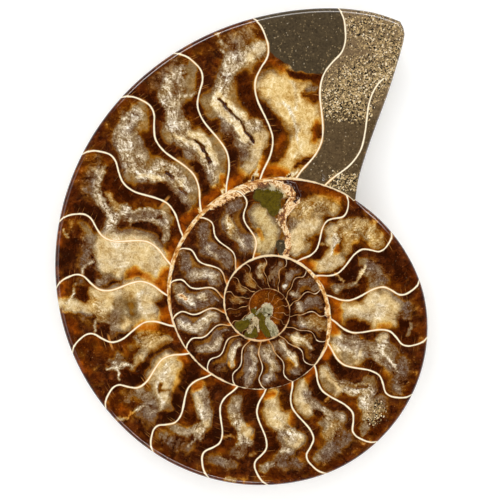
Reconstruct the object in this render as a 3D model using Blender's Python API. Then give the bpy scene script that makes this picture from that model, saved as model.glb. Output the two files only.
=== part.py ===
"""Half of an ammonite fossil, sawn along its coil and polished, lying on its natural flank.

The sawn face looks up (+Z). The coil is described in polar form about its centre: an azimuth
that grows as the whorls get smaller, from the sawn aperture end round to the tiny first whorls.
Under the sawn face, every whorl has a rounded outer edge, a crest and an umbilical wall. The
back is the deepest of the whorls that pass over each spot.
"""

import math

import bmesh
import bpy

MM = 0.001

# Driving dimensions, in millimetres.
THICKNESS = 17.0          # sawn face to the level ground flat on the back
RIM_RADIUS = 1.3          # rounded edge of the polished face
UMBILICUS_FLOOR = 5.5     # stone left between the sawn face and the bottom of the umbilicus
WALL_INSET = 0.25         # draft at the foot of the sawn aperture end

# Radius of the coil's outer edge at each azimuth in degrees.
COIL_RADIUS = (
    (50, 91.5), (65, 86.9), (75, 84.3), (90, 79.6), (120, 70.6), (150, 62.5), (180, 56.1),
    (210, 51.6), (240, 49.3), (270, 48.3), (300, 47.95), (330, 46.45), (360, 43.9), (385, 40.8),
    (410, 38.2), (450, 34.7), (495, 29.6), (540, 25.8), (585, 23.3), (630, 22.0), (675, 20.3),
    (720, 17.1), (810, 14.1), (900, 11.0), (990, 8.8), (1080, 6.6), (1170, 5.2), (1530, 2.0),
)

# Depth of each whorl's crest below the sawn face.
CREST_DEPTH = (
    (50, 17.35), (295, 17.35), (345, 16.0), (410, 12.4), (450, 10.9), (540, 8.4), (720, 5.6),
    (900, 3.6), (1170, 2.0), (1530, 1.0),
)

# The sawn aperture end from the notch to the coil's top corner, as x, y about the coil centre.
APERTURE_CUT = (
    (24.55, 29.26), (25.4, 34.8), (27.55, 42.0), (30.35, 50.0), (33.4, 58.2), (35.45, 64.6),
    (37.2, 70.6), (38.0, 75.0), (36.8, 77.9), (33.4, 79.2),
)
APERTURE_STEPS = 2        # outline points for each stretch of the cut
NOTCH_AZIMUTH = 410.0
VENTER_START = 70.0       # where the outline joins the coil's own edge
AZIMUTH_STEP = 3.0

# Cross-section of one whorl, as fractions of its outer radius.
CREST_AT = 0.50           # crest of the flank
UMBILICAL_DROP = 0.30     # from the crest to where the umbilical wall would reach the sawn face
UMBILICAL_POWER = 3.0
VENTER_POWERS = (1.8, 1.7)
SEAM_SOFTNESS = 0.60      # millimetres of fill in the groove between two whorls

# Rings of the back, from the rim to the shared inner disc and then to the centre.
FLANK_RINGS = (
    1.0, 0.985, 0.955, 0.91, 0.85, 0.775, 0.69, 0.60, 0.50, 0.40, 0.31, 0.23, 0.16, 0.10, 0.05,
)
INNER_DISC = 22.0
INNER_RINGS = (1.0, 0.92, 0.84, 0.76, 0.68, 0.60, 0.52, 0.44, 0.36, 0.28, 0.20, 0.12)
RIM_ANGLES = (0.0, 30.0, 60.0, 90.0)
SHARED_WITHIN = 0.08      # heights closer than this are one point where two whorls meet

STONE_COLOUR = (0.17, 0.075, 0.032, 1.0)
STONE_ROUGHNESS = 0.22
SHARP_ANGLE = 35.0


def clear_scene():
    for old in list(bpy.data.objects):
        bpy.data.objects.remove(old, do_unlink=True)


def read_curve(stations, at):
    """Smooth curve through (position, value) stations, held level past its ends."""
    last = len(stations) - 1
    k = 0
    while k < last - 1 and at > stations[k + 1][0]:
        k += 1

    def slope(n):
        lo = max(n - 1, 0)
        hi = min(n + 1, last)
        return (stations[hi][1] - stations[lo][1]) / (stations[hi][0] - stations[lo][0])

    span = stations[k + 1][0] - stations[k][0]
    t = min(max((at - stations[k][0]) / span, 0.0), 1.0)
    a, b = stations[k][1], stations[k + 1][1]
    return (
        a * (2 * t**3 - 3 * t**2 + 1)
        + b * (3 * t**2 - 2 * t**3)
        + span * slope(k) * (t**3 - 2 * t**2 + t)
        + span * slope(k + 1) * (t**3 - t**2)
    )


def whorl_depth(radius, azimuth):
    """Depth of one whorl's surface below the sawn face, or none inside its umbilicus."""
    outer = read_curve(COIL_RADIUS, azimuth)
    crest = read_curve(CREST_DEPTH, azimuth)
    s = radius / outer
    if s >= 1.0:
        return 0.0
    if s >= CREST_AT:
        u = (s - CREST_AT) / (1.0 - CREST_AT)
        rise = (1.0 - u ** VENTER_POWERS[0]) ** (1.0 / VENTER_POWERS[1])
        return RIM_RADIUS + (crest - RIM_RADIUS) * rise
    fall = ((CREST_AT - s) / UMBILICAL_DROP) ** UMBILICAL_POWER
    return max(crest * (1.0 - fall), 0.0)


def back_depth(radius, azimuth):
    """Depth of the back: the deepest whorl over this spot, with soft grooves between whorls."""
    depths = [UMBILICUS_FLOOR if radius < INNER_DISC else 0.0]
    turn = azimuth
    while turn < COIL_RADIUS[-1][0]:
        depths.append(whorl_depth(radius, turn))
        turn += 360.0
    deepest = max(depths)
    soft = sum(math.exp((d - deepest) / SEAM_SOFTNESS) for d in depths if d > 0.0)
    return min(deepest + SEAM_SOFTNESS * math.log(soft), THICKNESS)


def aperture_outline():
    """Outline points up the sawn aperture end, each with its azimuth."""
    xs = [(k, p[0]) for k, p in enumerate(APERTURE_CUT)]
    ys = [(k, p[1]) for k, p in enumerate(APERTURE_CUT)]
    points = []
    for k in range((len(APERTURE_CUT) - 1) * APERTURE_STEPS + 1):
        x = read_curve(xs, k / APERTURE_STEPS)
        y = read_curve(ys, k / APERTURE_STEPS)
        points.append((math.degrees(math.atan2(y, x)), x, y))
    return points


def venter_outline():
    """Outline points round the coil's outer edge, back to the notch."""
    points = []
    sweep = NOTCH_AZIMUTH - VENTER_START
    steps = round(sweep / AZIMUTH_STEP)
    for k in range(steps + 1):
        azimuth = VENTER_START + sweep * k / steps
        radius = read_curve(COIL_RADIUS, azimuth)
        turn = math.radians(azimuth)
        points.append((azimuth, radius * math.cos(turn), radius * math.sin(turn)))
    return points


def inward(outline, k):
    """Unit step into the stone from outline point k, lengthened where the outline turns."""
    loop = outline[:-1]
    n = len(loop)
    _, x0, y0 = loop[(k - 1) % n]
    _, x1, y1 = loop[k % n]
    _, x2, y2 = loop[(k + 1) % n]
    ax, ay = -(y1 - y0), x1 - x0
    bx, by = -(y2 - y1), x2 - x1
    la, lb = math.hypot(ax, ay), math.hypot(bx, by)
    sx, sy = ax / la + bx / lb, ay / la + by / lb
    scale = 2.0 / (sx * sx + sy * sy)
    return sx * scale, sy * scale


def rim_rows(bm, outline):
    """Closed rows of points round the polished edge, from the face down to the side."""
    rows = []
    for angle in RIM_ANGLES:
        back = RIM_RADIUS * (1.0 - math.sin(math.radians(angle)))
        down = RIM_RADIUS * (1.0 - math.cos(math.radians(angle)))
        row = []
        for k, (_, x, y) in enumerate(outline[:-1]):
            nx, ny = inward(outline, k)
            row.append(bm.verts.new((x + nx * back, y + ny * back, THICKNESS - down)))
        rows.append(row + [row[0]])
    return rows


def flank_rows(bm, outline):
    """Rows of the back outside the inner disc; their two ends part at the aperture step."""
    rows = []
    for w in FLANK_RINGS:
        row = []
        for azimuth, x, y in outline:
            edge = math.hypot(x, y)
            radius = INNER_DISC + (edge - WALL_INSET - INNER_DISC) * w
            depth = back_depth(radius, azimuth)
            row.append(bm.verts.new((x / edge * radius, y / edge * radius, THICKNESS - depth)))
        if abs(row[0].co.z - row[-1].co.z) < SHARED_WITHIN:
            bm.verts.remove(row[-1])
            row[-1] = row[0]
        rows.append(row)
    return rows


def inner_rows(bm, outline):
    """Closed rows of the umbilicus, round circles about the coil's centre."""
    rows = []
    for w in INNER_RINGS:
        row = []
        radius = INNER_DISC * w
        for azimuth, x, y in outline[1:]:
            edge = math.hypot(x, y)
            depth = back_depth(radius, azimuth)
            row.append(bm.verts.new((x / edge * radius, y / edge * radius, THICKNESS - depth)))
        rows.append([row[-1]] + row)
    return rows


def add_face(bm, corners):
    """Face on the corners that differ, if they are enough for one."""
    unique = list(dict.fromkeys(corners))
    if len(unique) > 2:
        bm.faces.new(unique)


def skin_rows(bm, rows):
    for upper, lower in zip(rows, rows[1:]):
        for k in range(len(upper) - 1):
            add_face(bm, (upper[k], upper[k + 1], lower[k + 1], lower[k]))
        add_face(bm, (upper[0], lower[0], lower[-1], upper[-1]))


def build_half():
    bm = bmesh.new()
    outline = aperture_outline() + venter_outline()
    rows = rim_rows(bm, outline) + flank_rows(bm, outline) + inner_rows(bm, outline)
    skin_rows(bm, rows)
    bm.faces.new(rows[0][:-1])
    centre = bm.verts.new((0.0, 0.0, THICKNESS - back_depth(0.0, NOTCH_AZIMUTH)))
    last = rows[-1]
    for k in range(len(last) - 1):
        bm.faces.new((last[k], last[k + 1], centre))
    bmesh.ops.recalc_face_normals(bm, faces=bm.faces)
    bmesh.ops.triangulate(bm, faces=[f for f in bm.faces if len(f.verts) > 4])
    bmesh.ops.scale(bm, vec=(MM, MM, MM), verts=bm.verts)
    set_origin(bm)
    return bm


def set_origin(bm):
    """Put the origin under the middle of the fossil's box, on the surface it lies on."""
    xs = [v.co.x for v in bm.verts]
    ys = [v.co.y for v in bm.verts]
    zs = [v.co.z for v in bm.verts]
    shift = (-(min(xs) + max(xs)) / 2, -(min(ys) + max(ys)) / 2, -min(zs))
    bmesh.ops.translate(bm, vec=shift, verts=bm.verts)


def stone_material():
    material = bpy.data.materials.new("fossil_stone")
    material.use_nodes = True
    shader = material.node_tree.nodes["Principled BSDF"]
    shader.inputs["Base Color"].default_value = STONE_COLOUR
    shader.inputs["Roughness"].default_value = STONE_ROUGHNESS
    shader.inputs["Metallic"].default_value = 0.0
    return material


def main():
    clear_scene()
    bm = build_half()
    mesh = bpy.data.meshes.new("ammonite_half")
    bm.to_mesh(mesh)
    bm.free()
    mesh.materials.append(stone_material())
    mesh.shade_smooth()
    mesh.set_sharp_from_angle(angle=math.radians(SHARP_ANGLE))
    half = bpy.data.objects.new("ammonite_half", mesh)
    bpy.context.scene.collection.objects.link(half)


main()
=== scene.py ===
import math

import bmesh
import bpy
import numpy as np
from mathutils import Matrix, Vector, noise


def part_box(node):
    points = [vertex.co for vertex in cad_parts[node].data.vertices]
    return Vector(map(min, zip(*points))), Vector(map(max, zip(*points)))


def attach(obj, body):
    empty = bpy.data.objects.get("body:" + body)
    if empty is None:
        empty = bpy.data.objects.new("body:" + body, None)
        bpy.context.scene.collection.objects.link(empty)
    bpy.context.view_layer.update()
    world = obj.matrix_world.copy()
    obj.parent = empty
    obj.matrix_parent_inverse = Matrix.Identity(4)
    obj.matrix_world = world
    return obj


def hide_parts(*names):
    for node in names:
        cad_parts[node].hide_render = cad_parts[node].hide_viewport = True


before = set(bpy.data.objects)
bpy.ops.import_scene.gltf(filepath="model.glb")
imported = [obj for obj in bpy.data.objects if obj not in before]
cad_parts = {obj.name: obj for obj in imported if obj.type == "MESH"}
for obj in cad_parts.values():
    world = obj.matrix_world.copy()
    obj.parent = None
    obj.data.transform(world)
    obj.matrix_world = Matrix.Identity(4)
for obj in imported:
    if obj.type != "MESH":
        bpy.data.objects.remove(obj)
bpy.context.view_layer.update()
mm = 0.001
far = 1e9       # stands for a distance not found yet

# The coil, in millimetres about its own centre. Azimuth grows as the whorls get smaller.
coil = {
    "edge": [
        (50, 91.5), (65, 86.9), (75, 84.3), (90, 79.6), (120, 70.6), (150, 62.5), (180, 56.1),
        (210, 51.6), (240, 49.3), (270, 48.3), (300, 47.95), (330, 46.45), (360, 43.9), (385, 40.8),
        (410, 38.2), (450, 34.7), (495, 29.6), (540, 25.8), (585, 23.3), (630, 22.0), (675, 20.3),
        (720, 17.1), (810, 14.1), (900, 11.0), (990, 8.8), (1080, 6.6), (1170, 5.2), (1530, 2.0),
        (1850, 1.3),
    ],
    "crest": [
        (50, 17.35), (295, 17.35), (345, 16.0), (410, 12.4), (450, 10.9), (540, 8.4), (720, 5.6),
        (900, 3.6), (1170, 2.0), (1530, 1.0),
    ],
    "sawnEnd": [
        (24.55, 29.26), (25.4, 34.8), (27.55, 42.0), (30.35, 50.0), (33.4, 58.2), (35.45, 64.6),
        (37.2, 70.6), (38.0, 75.0), (36.8, 77.9),
    ],
    "corner": [(64.7, 86.16), (67.13, 85.95), (70.0, 85.55), (75.0, 84.3)],
    "thickness": 17.0,
    "rimRadius": 1.3,
    "notchRim": 0.5,
    "sawDraft": 0.25,
    "umbilicusFloor": 5.5,
    "umbilicusRadius": 22.0,
    "umbilicusEnds": 1530,    # azimuth of the last whorl that shows on the back
    "grooveFill": 0.6,
    "crestAt": 0.5,           # share of the radius where a flank is deepest
    "wallRun": 0.3,           # share of the radius over which its inner wall rises again
}

polish = {
    "firstAzimuth": 50,
    "cutEndsBy": 78,          # azimuth by which the columns stand square to the coil again
    "turns": 4,
    "stepsInTurn": 360,
    "rows": 28,
    "rimBand": 0.35,          # flat strip kept inside the rounded rim
    "rimSteps": 5,
    "notchBlend": 6,          # columns over which the rim and the seam ease out of the notch
    "mitreLimit": 1.5,
    "fineTurn": 360.5,        # the outer whorl's faces are split once more, up to its last septum
    "mergeWithin": 0.003,
    "hubPlace": (1500.0, 0.5),    # azimuth and height given to the first chamber
}


def smoothCurve(stations, at):
    x, y = np.array(stations, float).T
    slope = np.gradient(y, x)
    slope[1:-1] = (y[2:] - y[:-2]) / (x[2:] - x[:-2])
    at = np.clip(at, x[0], x[-1])
    k = np.clip(np.searchsorted(x, at, side="right") - 1, 0, len(x) - 2)
    span = x[k + 1] - x[k]
    t = (at - x[k]) / span
    return (
        y[k] * (2 * t**3 - 3 * t**2 + 1)
        + y[k + 1] * (3 * t**2 - 2 * t**3)
        + span * slope[k] * (t**3 - 2 * t**2 + t)
        + span * slope[k + 1] * (t**3 - t**2)
    )


def smoothColumns(table, at):
    # one curve for each column after the first
    return [smoothCurve([(row[0], row[k]) for row in table], at) for k in range(1, len(table[0]))]


def edgeRadius(azimuth):
    azimuth = np.asarray(azimuth, float)
    plain = smoothCurve(coil["edge"], azimuth)
    return np.where(azimuth < 75.0, np.minimum(plain, smoothCurve(coil["corner"], azimuth)), plain)


def whorlEdges(azimuth):
    inner = smoothCurve(coil["edge"], np.asarray(azimuth, float) + 360.0)
    outer = smoothCurve(coil["edge"], azimuth)
    return inner, outer


def polar(azimuth, radius):
    turn = np.radians(azimuth)
    return np.stack([radius * np.cos(turn), radius * np.sin(turn)], axis=-1)


def outlineRing():
    # the polished face as a closed ring that starts at the notch, up the sawn end
    cut = np.array(coil["sawnEnd"])
    along = np.concatenate([[0.0], np.cumsum(np.linalg.norm(np.diff(cut, axis=0), axis=1))])
    at = np.linspace(0.0, along[-1], polish["rows"] + 1)
    cutLine = np.stack(smoothColumns(np.column_stack([along, cut]), at), axis=-1)
    first, square = polish["firstAzimuth"], polish["cutEndsBy"]
    step = 360.0 / polish["stepsInTurn"]
    squeezed = int(round((square - first) / step))
    cornerAt = math.degrees(math.atan2(cutLine[-1, 1], cutLine[-1, 0]))
    azimuth = np.concatenate([
        np.linspace(cornerAt, square, squeezed + 1)[1:],
        np.arange(square + step, first + 360.0 - step / 2, step),
    ])
    venter = polar(azimuth, edgeRadius(azimuth))
    ring = np.concatenate([cutLine, venter])
    ringAzimuth = np.concatenate([
        np.degrees(np.arctan2(cutLine[:, 1], cutLine[:, 0])), azimuth
    ])
    return ring, ringAzimuth


def insetRing(ring, distance):
    ahead = np.roll(ring, -1, axis=0) - ring
    behind = ring - np.roll(ring, 1, axis=0)
    ahead = ahead / np.linalg.norm(ahead, axis=1, keepdims=True)
    behind = behind / np.linalg.norm(behind, axis=1, keepdims=True)
    turned = np.stack([-(ahead + behind)[:, 1], (ahead + behind)[:, 0]], axis=-1)
    mitre = 2.0 / np.sum(turned * turned, axis=1, keepdims=True)
    return ring + turned * np.minimum(mitre, polish["mitreLimit"]) * distance[:, None]


def rimWidths(count):
    nearNotch = np.minimum(np.arange(count), count - np.arange(count))
    blend = np.clip(nearNotch / polish["notchBlend"], 0.0, 1.0)
    return coil["notchRim"] + (coil["rimRadius"] - coil["notchRim"]) * blend


def seamLine(count, notch):
    # where each whorl meets the next smaller one, column by column
    step = 360.0 / polish["stepsInTurn"]
    azimuth = polish["firstAzimuth"] + np.arange(count) * step
    radius = smoothCurve(coil["edge"], azimuth + 360.0)
    notchAt = math.degrees(math.atan2(notch[1], notch[0]))
    notchRadius = math.hypot(*notch)
    blend = np.clip(np.arange(count) / polish["notchBlend"], 0.0, 1.0)
    azimuth = azimuth + (notchAt - azimuth[0]) * (1.0 - blend) ** 2
    radius = radius + (notchRadius - radius[0]) * (1.0 - blend) ** 2
    return polar(azimuth, radius)


# each septum: azimuth, hook at the foot, swell below the middle, dip above it, all in degrees
septa = [
    (58.8, 5.2, 4.6, 1.9), (71.3, 5.4, 4.7, 1.9), (87.4, 5.1, 5.2, 1.9), (103.8, 5.2, 4.8, 1.3),
    (118.2, 5.8, 4.9, 1.4), (133.1, 6.1, 5.6, 2.2), (150.6, 5.1, 5.8, 2.0), (167.9, 5.2, 5.9, 2.0),
    (186.7, 4.8, 6.0, 1.7), (206.5, 4.5, 5.7, 1.1), (226.0, 5.1, 6.0, 1.5), (245.4, 5.4, 6.1, 1.6),
    (265.5, 5.1, 5.1, 0.7), (285.2, 5.2, 5.3, 0.4), (304.7, 6.0, 5.2, 0.6), (324.2, 6.6, 5.3, 0.6),
    (344.3, 6.7, 5.2, 0.7), (365.2, 7.0, 4.9, 0.3), (385.6, 7.2, 5.6, 0.6), (408.6, 7.2, 6.0, 0.8),
    (433.0, 4.0, 4.0, 2.0), (457.8, 6.2, 5.6, 2.0), (480.1, 8.0, 4.8, 1.9), (499.7, 9.0, 5.0, 2.2),
    (519.3, 8.5, 5.4, 2.1), (540.4, 7.5, 4.9, 2.1), (560.2, 7.5, 5.1, 2.6), (580.3, 7.0, 6.1, 3.0),
    (601.2, 5.0, 5.5, 2.9), (621.6, 2.0, 5.9, 3.5), (641.3, -5.0, 7.0, 4.5), (662.9, -7.0, 7.5, 3.5),
    (685.6, -8.5, 6.8, 2.4), (708.1, -8.0, 7.4, 3.3), (732.8, -9.5, 8.0, 3.0), (755.9, -13.0, 8.3, 3.4),
    (781.2, -10.0, 7.6, 2.6), (804.0, -8.5, 8.2, 4.0), (829.2, -9.0, 5.8, 1.2),
    (851.7, -11.0, 5.0, 1.8), (873.5, -8.0, 5.7, 1.5), (896.8, -7.0, 6.1, 4.0), (921.0, -7.0, 6.0, 2.0),
]
innerSepta = {"every": 23.0, "hook": -7.0, "swell": 6.0, "dip": 2.0, "until": 1560.0}
firstSepta = {"leaning": 3, "lean": 0.65, "chamber": 15.0}    # the three by the sawn end lean less
# height up the whorl, then the share of hook, swell and dip there, and the lean in degrees
septumShape = [
    (0.0, 1.0, 0.0, 0.0, 0.0), (0.05, 0.72, 0.0, 0.0, 0.0), (0.13, 0.19, 0.0, 0.0, 0.0),
    (0.2, 0.0, 0.0, 0.0, 0.0), (0.27, 0.0, 0.06, 0.0, 0.0), (0.47, 0.0, 0.84, 0.0, 0.0),
    (0.55, 0.0, 1.0, 0.0, 0.0), (0.62, 0.0, 0.96, 0.0, 0.0), (0.68, 0.0, 0.55, 0.45, 0.0),
    (0.74, 0.0, 0.0, 1.0, 0.3), (0.8, 0.0, 0.0, 1.0, 0.0), (0.86, 0.0, 0.0, 1.0, 0.8),
    (0.94, 0.0, 0.0, 1.0, 2.5), (1.0, 0.0, 0.0, 1.0, 4.8),
]


def allSepta():
    rows = list(septa)
    while rows[-1][0] < innerSepta["until"]:
        rows.append((
            rows[-1][0] + innerSepta["every"], innerSepta["hook"], innerSepta["swell"],
            innerSepta["dip"],
        ))
    return np.array(rows)


def chamberAt(azimuth, height):
    # whole numbers fall on the septa, halves in the middle of the chambers
    rows = allSepta()
    height = np.clip(height, 0.0, 1.0)
    hook, swell, dip, lean = smoothColumns(septumShape, height)
    below = np.full(azimuth.shape, -far)
    above = np.full(azimuth.shape, far)
    index = np.full(azimuth.shape, -1.0)
    for k, (middle, h, w, d) in enumerate(rows):
        tilt = firstSepta["lean"] if k < firstSepta["leaning"] else 1.0
        line = middle + h * hook + w * swell + d * dip + lean * tilt
        passed = azimuth >= line
        below = np.where(passed, line, below)
        index = np.where(passed, float(k), index)
        above = np.where(~passed & (above == far), line, above)
    below = np.where(below == -far, above - firstSepta["chamber"], below)
    above = np.where(above == far, below + innerSepta["every"], above)
    return index + (azimuth - below) / np.maximum(above - below, 1e-6)


def heightAt(azimuth, radius):
    inner, outer = whorlEdges(azimuth)
    return (radius - inner) / (outer - inner), outer - inner


# the bake map: the level face on the left, the strip of rim and back on the right
bakeLayout = {
    "faceShare": 0.77, "faceMargin": 0.004, "stripStart": 0.785, "stripEnd": 0.995, "stripFoot": 0.005,
    "tall": 0.99,
}


def layFaceFlat(bm, bakeMap):
    # the level top goes on the map as it lies, at one scale both ways
    level = [f for f in bm.faces if isLevel(f)]
    corners = np.array([v.co[:2] for f in level for v in f.verts])
    low, span = corners.min(0), np.ptp(corners, axis=0)
    scale = min(bakeLayout["faceShare"] / span[0], bakeLayout["tall"] / span[1])
    for face in level:
        for loop in face.loops:
            loop[bakeMap].uv = (np.array(loop.vert.co[:2]) - low) * scale + bakeLayout["faceMargin"]


def placeGrid(bm, across, up, points, azimuths, heights, coilMap, bakeMap, shellFrom):
    # points, azimuths and heights are indexed [column, row]; rows from shellFrom on are the shell
    stripStart, foot = bakeLayout["stripStart"], bakeLayout["stripFoot"]
    wide = (bakeLayout["stripEnd"] - stripStart) / up
    tall = bakeLayout["tall"] / across
    made = bmesh.ops.create_grid(bm, x_segments=across, y_segments=up, size=1.0)["verts"]
    place = {}
    for vert in made:
        column = int(round((vert.co.x + 1.0) / 2.0 * across))
        row = int(round((vert.co.y + 1.0) / 2.0 * up))
        place[vert] = (column, row)
        vert.co = Vector(points[column, row])
    for face in {f for v in made for f in v.link_faces}:
        face.material_index = int(min(place[v][1] for v in face.verts) >= shellFrom)
        face.smooth = True
        for loop in face.loops:
            column, row = place[loop.vert]
            loop[coilMap].uv = (azimuths[column, row], heights[column, row])
            loop[bakeMap].uv = (stripStart + wide * row, foot + tall * column)


def faceStrip(bm, ring, inset, coilMap, bakeMap):
    rows = polish["rows"]
    columns = polish["turns"] * polish["stepsInTurn"]
    perTurn = polish["stepsInTurn"]
    seam = seamLine(columns + 1, inset[0])
    outer = np.empty((columns + 1, 2))
    outer[:perTurn] = inset[rows:rows + perTurn]
    outer[perTurn] = inset[0]
    outer[perTurn + 1:] = seam[1:columns - perTurn + 1]
    inner = seam
    span = np.linalg.norm(outer - inner, axis=1)
    band = np.clip(polish["rimBand"] / span, 0.0, 0.5)
    share = np.arange(rows) / (rows - 1.0)
    rise = np.concatenate([share[None, :] * (1.0 - band[:, None]), np.ones((columns + 1, 1))], 1)
    flat = inner[:, None, :] + (outer - inner)[:, None, :] * rise[..., None]
    # columns next to the sawn end bow as it does
    bow = inset[:rows + 1] - flat[0]
    squeezed = int(round((polish["cutEndsBy"] - polish["firstAzimuth"]) * perTurn / 360.0))
    fade = np.clip(1.0 - np.arange(columns + 1) / squeezed, 0.0, 1.0)
    flat += fade[:, None, None] * bow[None]
    step = 360.0 / perTurn
    nominal = polish["firstAzimuth"] + np.arange(columns + 1) * step
    azimuth = np.degrees(np.arctan2(flat[..., 1], flat[..., 0]))
    azimuth = azimuth + 360.0 * np.round((nominal[:, None] - azimuth) / 360.0)
    radius = np.linalg.norm(flat, axis=-1)
    height, _ = heightAt(azimuth, radius)
    points = np.concatenate([flat, np.full(flat.shape[:2] + (1,), coil["thickness"])], axis=-1)
    placeGrid(bm, columns, rows, points, azimuth, np.clip(height, 0.0, 1.0), coilMap,
              bakeMap, rows + 1)


def whorlDepth(radius, azimuth):
    outer = smoothCurve(coil["edge"], azimuth)
    crest = smoothCurve(coil["crest"], azimuth)
    s = np.clip(radius / outer, 0.0, 1.0)
    u = np.clip((s - coil["crestAt"]) / (1.0 - coil["crestAt"]), 0.0, 1.0)
    flank = coil["rimRadius"] + (crest - coil["rimRadius"]) * (1.0 - u**1.8) ** (1 / 1.7)
    inward = np.clip(coil["crestAt"] - s, 0.0, 1.0) / coil["wallRun"]
    wall = np.maximum(crest * (1.0 - inward**3), 0.0)
    return np.where(radius >= outer, 0.0, np.where(s >= coil["crestAt"], flank, wall))


def backDepth(radius, azimuth):
    layers = [np.where(radius < coil["umbilicusRadius"], coil["umbilicusFloor"], 0.0)]
    turn = azimuth
    for _ in range(4):
        layers.append(np.where(turn < coil["umbilicusEnds"], whorlDepth(radius, turn), 0.0))
        turn = turn + 360.0
    layers = np.array(layers)
    deepest = layers.max(axis=0)
    fill = coil["grooveFill"]
    soft = np.where(layers > 0.0, np.exp((layers - deepest) / fill), 0.0).sum(axis=0)
    return np.minimum(deepest + fill * np.log(np.maximum(soft, 1.0)), coil["thickness"])


# rings across the back, edge to hub: shares of the flank, closest by the edge, then of the disc
flankRings = [1.0, 0.993, 0.983, 0.97, 0.955, 0.935, 0.91, 0.885, 0.855, 0.825]
flankRings += [0.79 - 0.035 * k for k in range(10)]
flankRings += [0.44 - 0.03 * k for k in range(7)]
flankRings += [0.235 - 0.025 * k for k in range(9)]
innerRings = [1.0 - 0.05 * k for k in range(17)] + [0.14, 0.08, 0.0]
back = {
    "ribs": 46,
    "ribDepth": 0.16,
    "ribLean": 0.33,          # radians of a rib's phase for each millimetre out
    "ribsFrom": 20.0,         # ribs fade in over ten millimetres past this radius
    "ribsFadeIn": 10.0,
    "ribsFadeOut": 4.0,       # and out again just inside the edge
    "wallRows": 6,
    "joinWithin": 0.08,
}


def backStrip(bm, ring, ringAzimuth, inset, widths, coilMap, bakeMap):
    count = len(ring)
    order = np.concatenate([np.arange(count), [0, 0]])
    azimuth = np.concatenate([ringAzimuth, [ringAzimuth[0] + 360.0, ringAzimuth[0]]])
    edge = np.linalg.norm(ring, axis=1)[order]
    heading = ring[order] / edge[:, None]
    rows = []
    for k in range(polish["rimSteps"] + 1):
        angle = math.radians(90.0 * k / polish["rimSteps"])
        share = math.sin(angle)
        flat = inset[order] + (ring[order] - inset[order]) * share
        drop = widths[order] * (1.0 - math.cos(angle))
        rows.append(np.column_stack([flat, coil["thickness"] - drop]))
    flank = []
    start, disc = coil["sawDraft"], coil["umbilicusRadius"]
    radii = [disc + (edge - start - disc) * w for w in flankRings]
    radii += [np.full(len(order), disc * w) for w in innerRings]
    for radius in radii:
        depth = backDepth(radius, azimuth)
        ridge = np.sin(np.radians(azimuth * back["ribs"]) + back["ribLean"] * radius)
        fadeIn = np.clip((radius - back["ribsFrom"]) / back["ribsFadeIn"], 0.0, 1.0)
        onFlank = np.clip((edge - radius) / back["ribsFadeOut"], 0.0, 1.0) * fadeIn
        depth = depth - back["ribDepth"] * onFlank * (0.5 - 0.5 * ridge)
        flank.append(np.column_stack([heading * radius[:, None], coil["thickness"] - depth]))
    foot = rows[-1]
    rows += [foot + (flank[0] - foot) * (k / back["wallRows"]) for k in range(1, back["wallRows"])]
    rows += flank
    points = np.stack(rows, axis=1)
    # columns that meet in height where the first and last whorls touch become one
    same = np.abs(points[0, :, 2] - points[-2, :, 2]) < back["joinWithin"]
    points[-2, same] = points[0, same]
    flatRadius = np.linalg.norm(points[..., :2], axis=-1)
    rimAzimuth = np.repeat(azimuth[:, None], points.shape[1], axis=1)
    height, _ = heightAt(rimAzimuth, flatRadius)
    placeGrid(bm, len(order) - 1, points.shape[1] - 1, points, rimAzimuth,
              np.clip(height, 0.0, 1.0), coilMap, bakeMap, polish["rimSteps"])


def isLevel(face):
    return all(v.co.z > coil["thickness"] - 0.001 for v in face.verts)


def isPolished(face, coilMap, turn):
    furthest = max(loop[coilMap].uv.x for loop in face.loops)
    return isLevel(face) and furthest < polish["firstAzimuth"] + turn


def splitFaces(bm, faces):
    edges = {e for f in faces for e in f.edges}
    bmesh.ops.subdivide_edges(bm, edges=list(edges), cuts=1, use_grid_fill=True)


def slitDepthAt(azimuth, height, radius, tall):
    depth = np.zeros(len(azimuth))
    for kind, size, strength, *way in strokes:
        if kind == "slit":
            away = brushAway(azimuth, height, radius, tall, way)
            wall = fadeOut(away, slit["floor"] * size, slit["lip"] * size)
            depth = np.maximum(depth, slit["depth"] * strength * wall)
    return depth


def refineSlits(bm, coilMap):
    faces = [f for f in bm.faces if isPolished(f, coilMap, slit["searchTurn"])]
    azimuth, height = np.array([tuple(f.loops[0][coilMap].uv) for f in faces]).T
    inner, outer = whorlEdges(azimuth)
    radius = inner + (outer - inner) * height
    near = np.full(len(faces), far)
    for kind, size, strength, *way in strokes:
        if kind == "slit":
            near = np.minimum(near, brushAway(azimuth, height, radius, outer - inner, way) - size)
    splitFaces(bm, [face for face, gap in zip(faces, near) if gap < slit["fineWithin"]])


def buildShape():
    bm = bmesh.new()
    coilMap = bm.loops.layers.uv.new("coil")
    bakeMap = bm.loops.layers.uv.new("OFBake")
    ring, ringAzimuth = outlineRing()
    widths = rimWidths(len(ring))
    inset = insetRing(ring, widths)
    faceStrip(bm, ring, inset, coilMap, bakeMap)
    backStrip(bm, ring, ringAzimuth, inset, widths, coilMap, bakeMap)
    bmesh.ops.remove_doubles(bm, verts=bm.verts, dist=polish["mergeWithin"])
    splitFaces(bm, [f for f in bm.faces if isPolished(f, coilMap, polish["fineTurn"])])
    refineSlits(bm, coilMap)
    hole = [e for e in bm.edges if e.is_boundary]
    print("open edges round the first chamber:", len(hole))
    filled = bmesh.ops.holes_fill(bm, edges=hole, sides=0)["faces"]
    for face in filled:
        for loop in face.loops:
            loop[coilMap].uv = polish["hubPlace"]
    bmesh.ops.poke(bm, faces=filled)
    layFaceFlat(bm, bakeMap)
    bmesh.ops.recalc_face_normals(bm, faces=bm.faces)
    left = [e for e in bm.edges if not e.is_manifold]
    print("faces:", len(bm.faces), "loose or open edges:", len(left))
    return bm, ring


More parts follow.
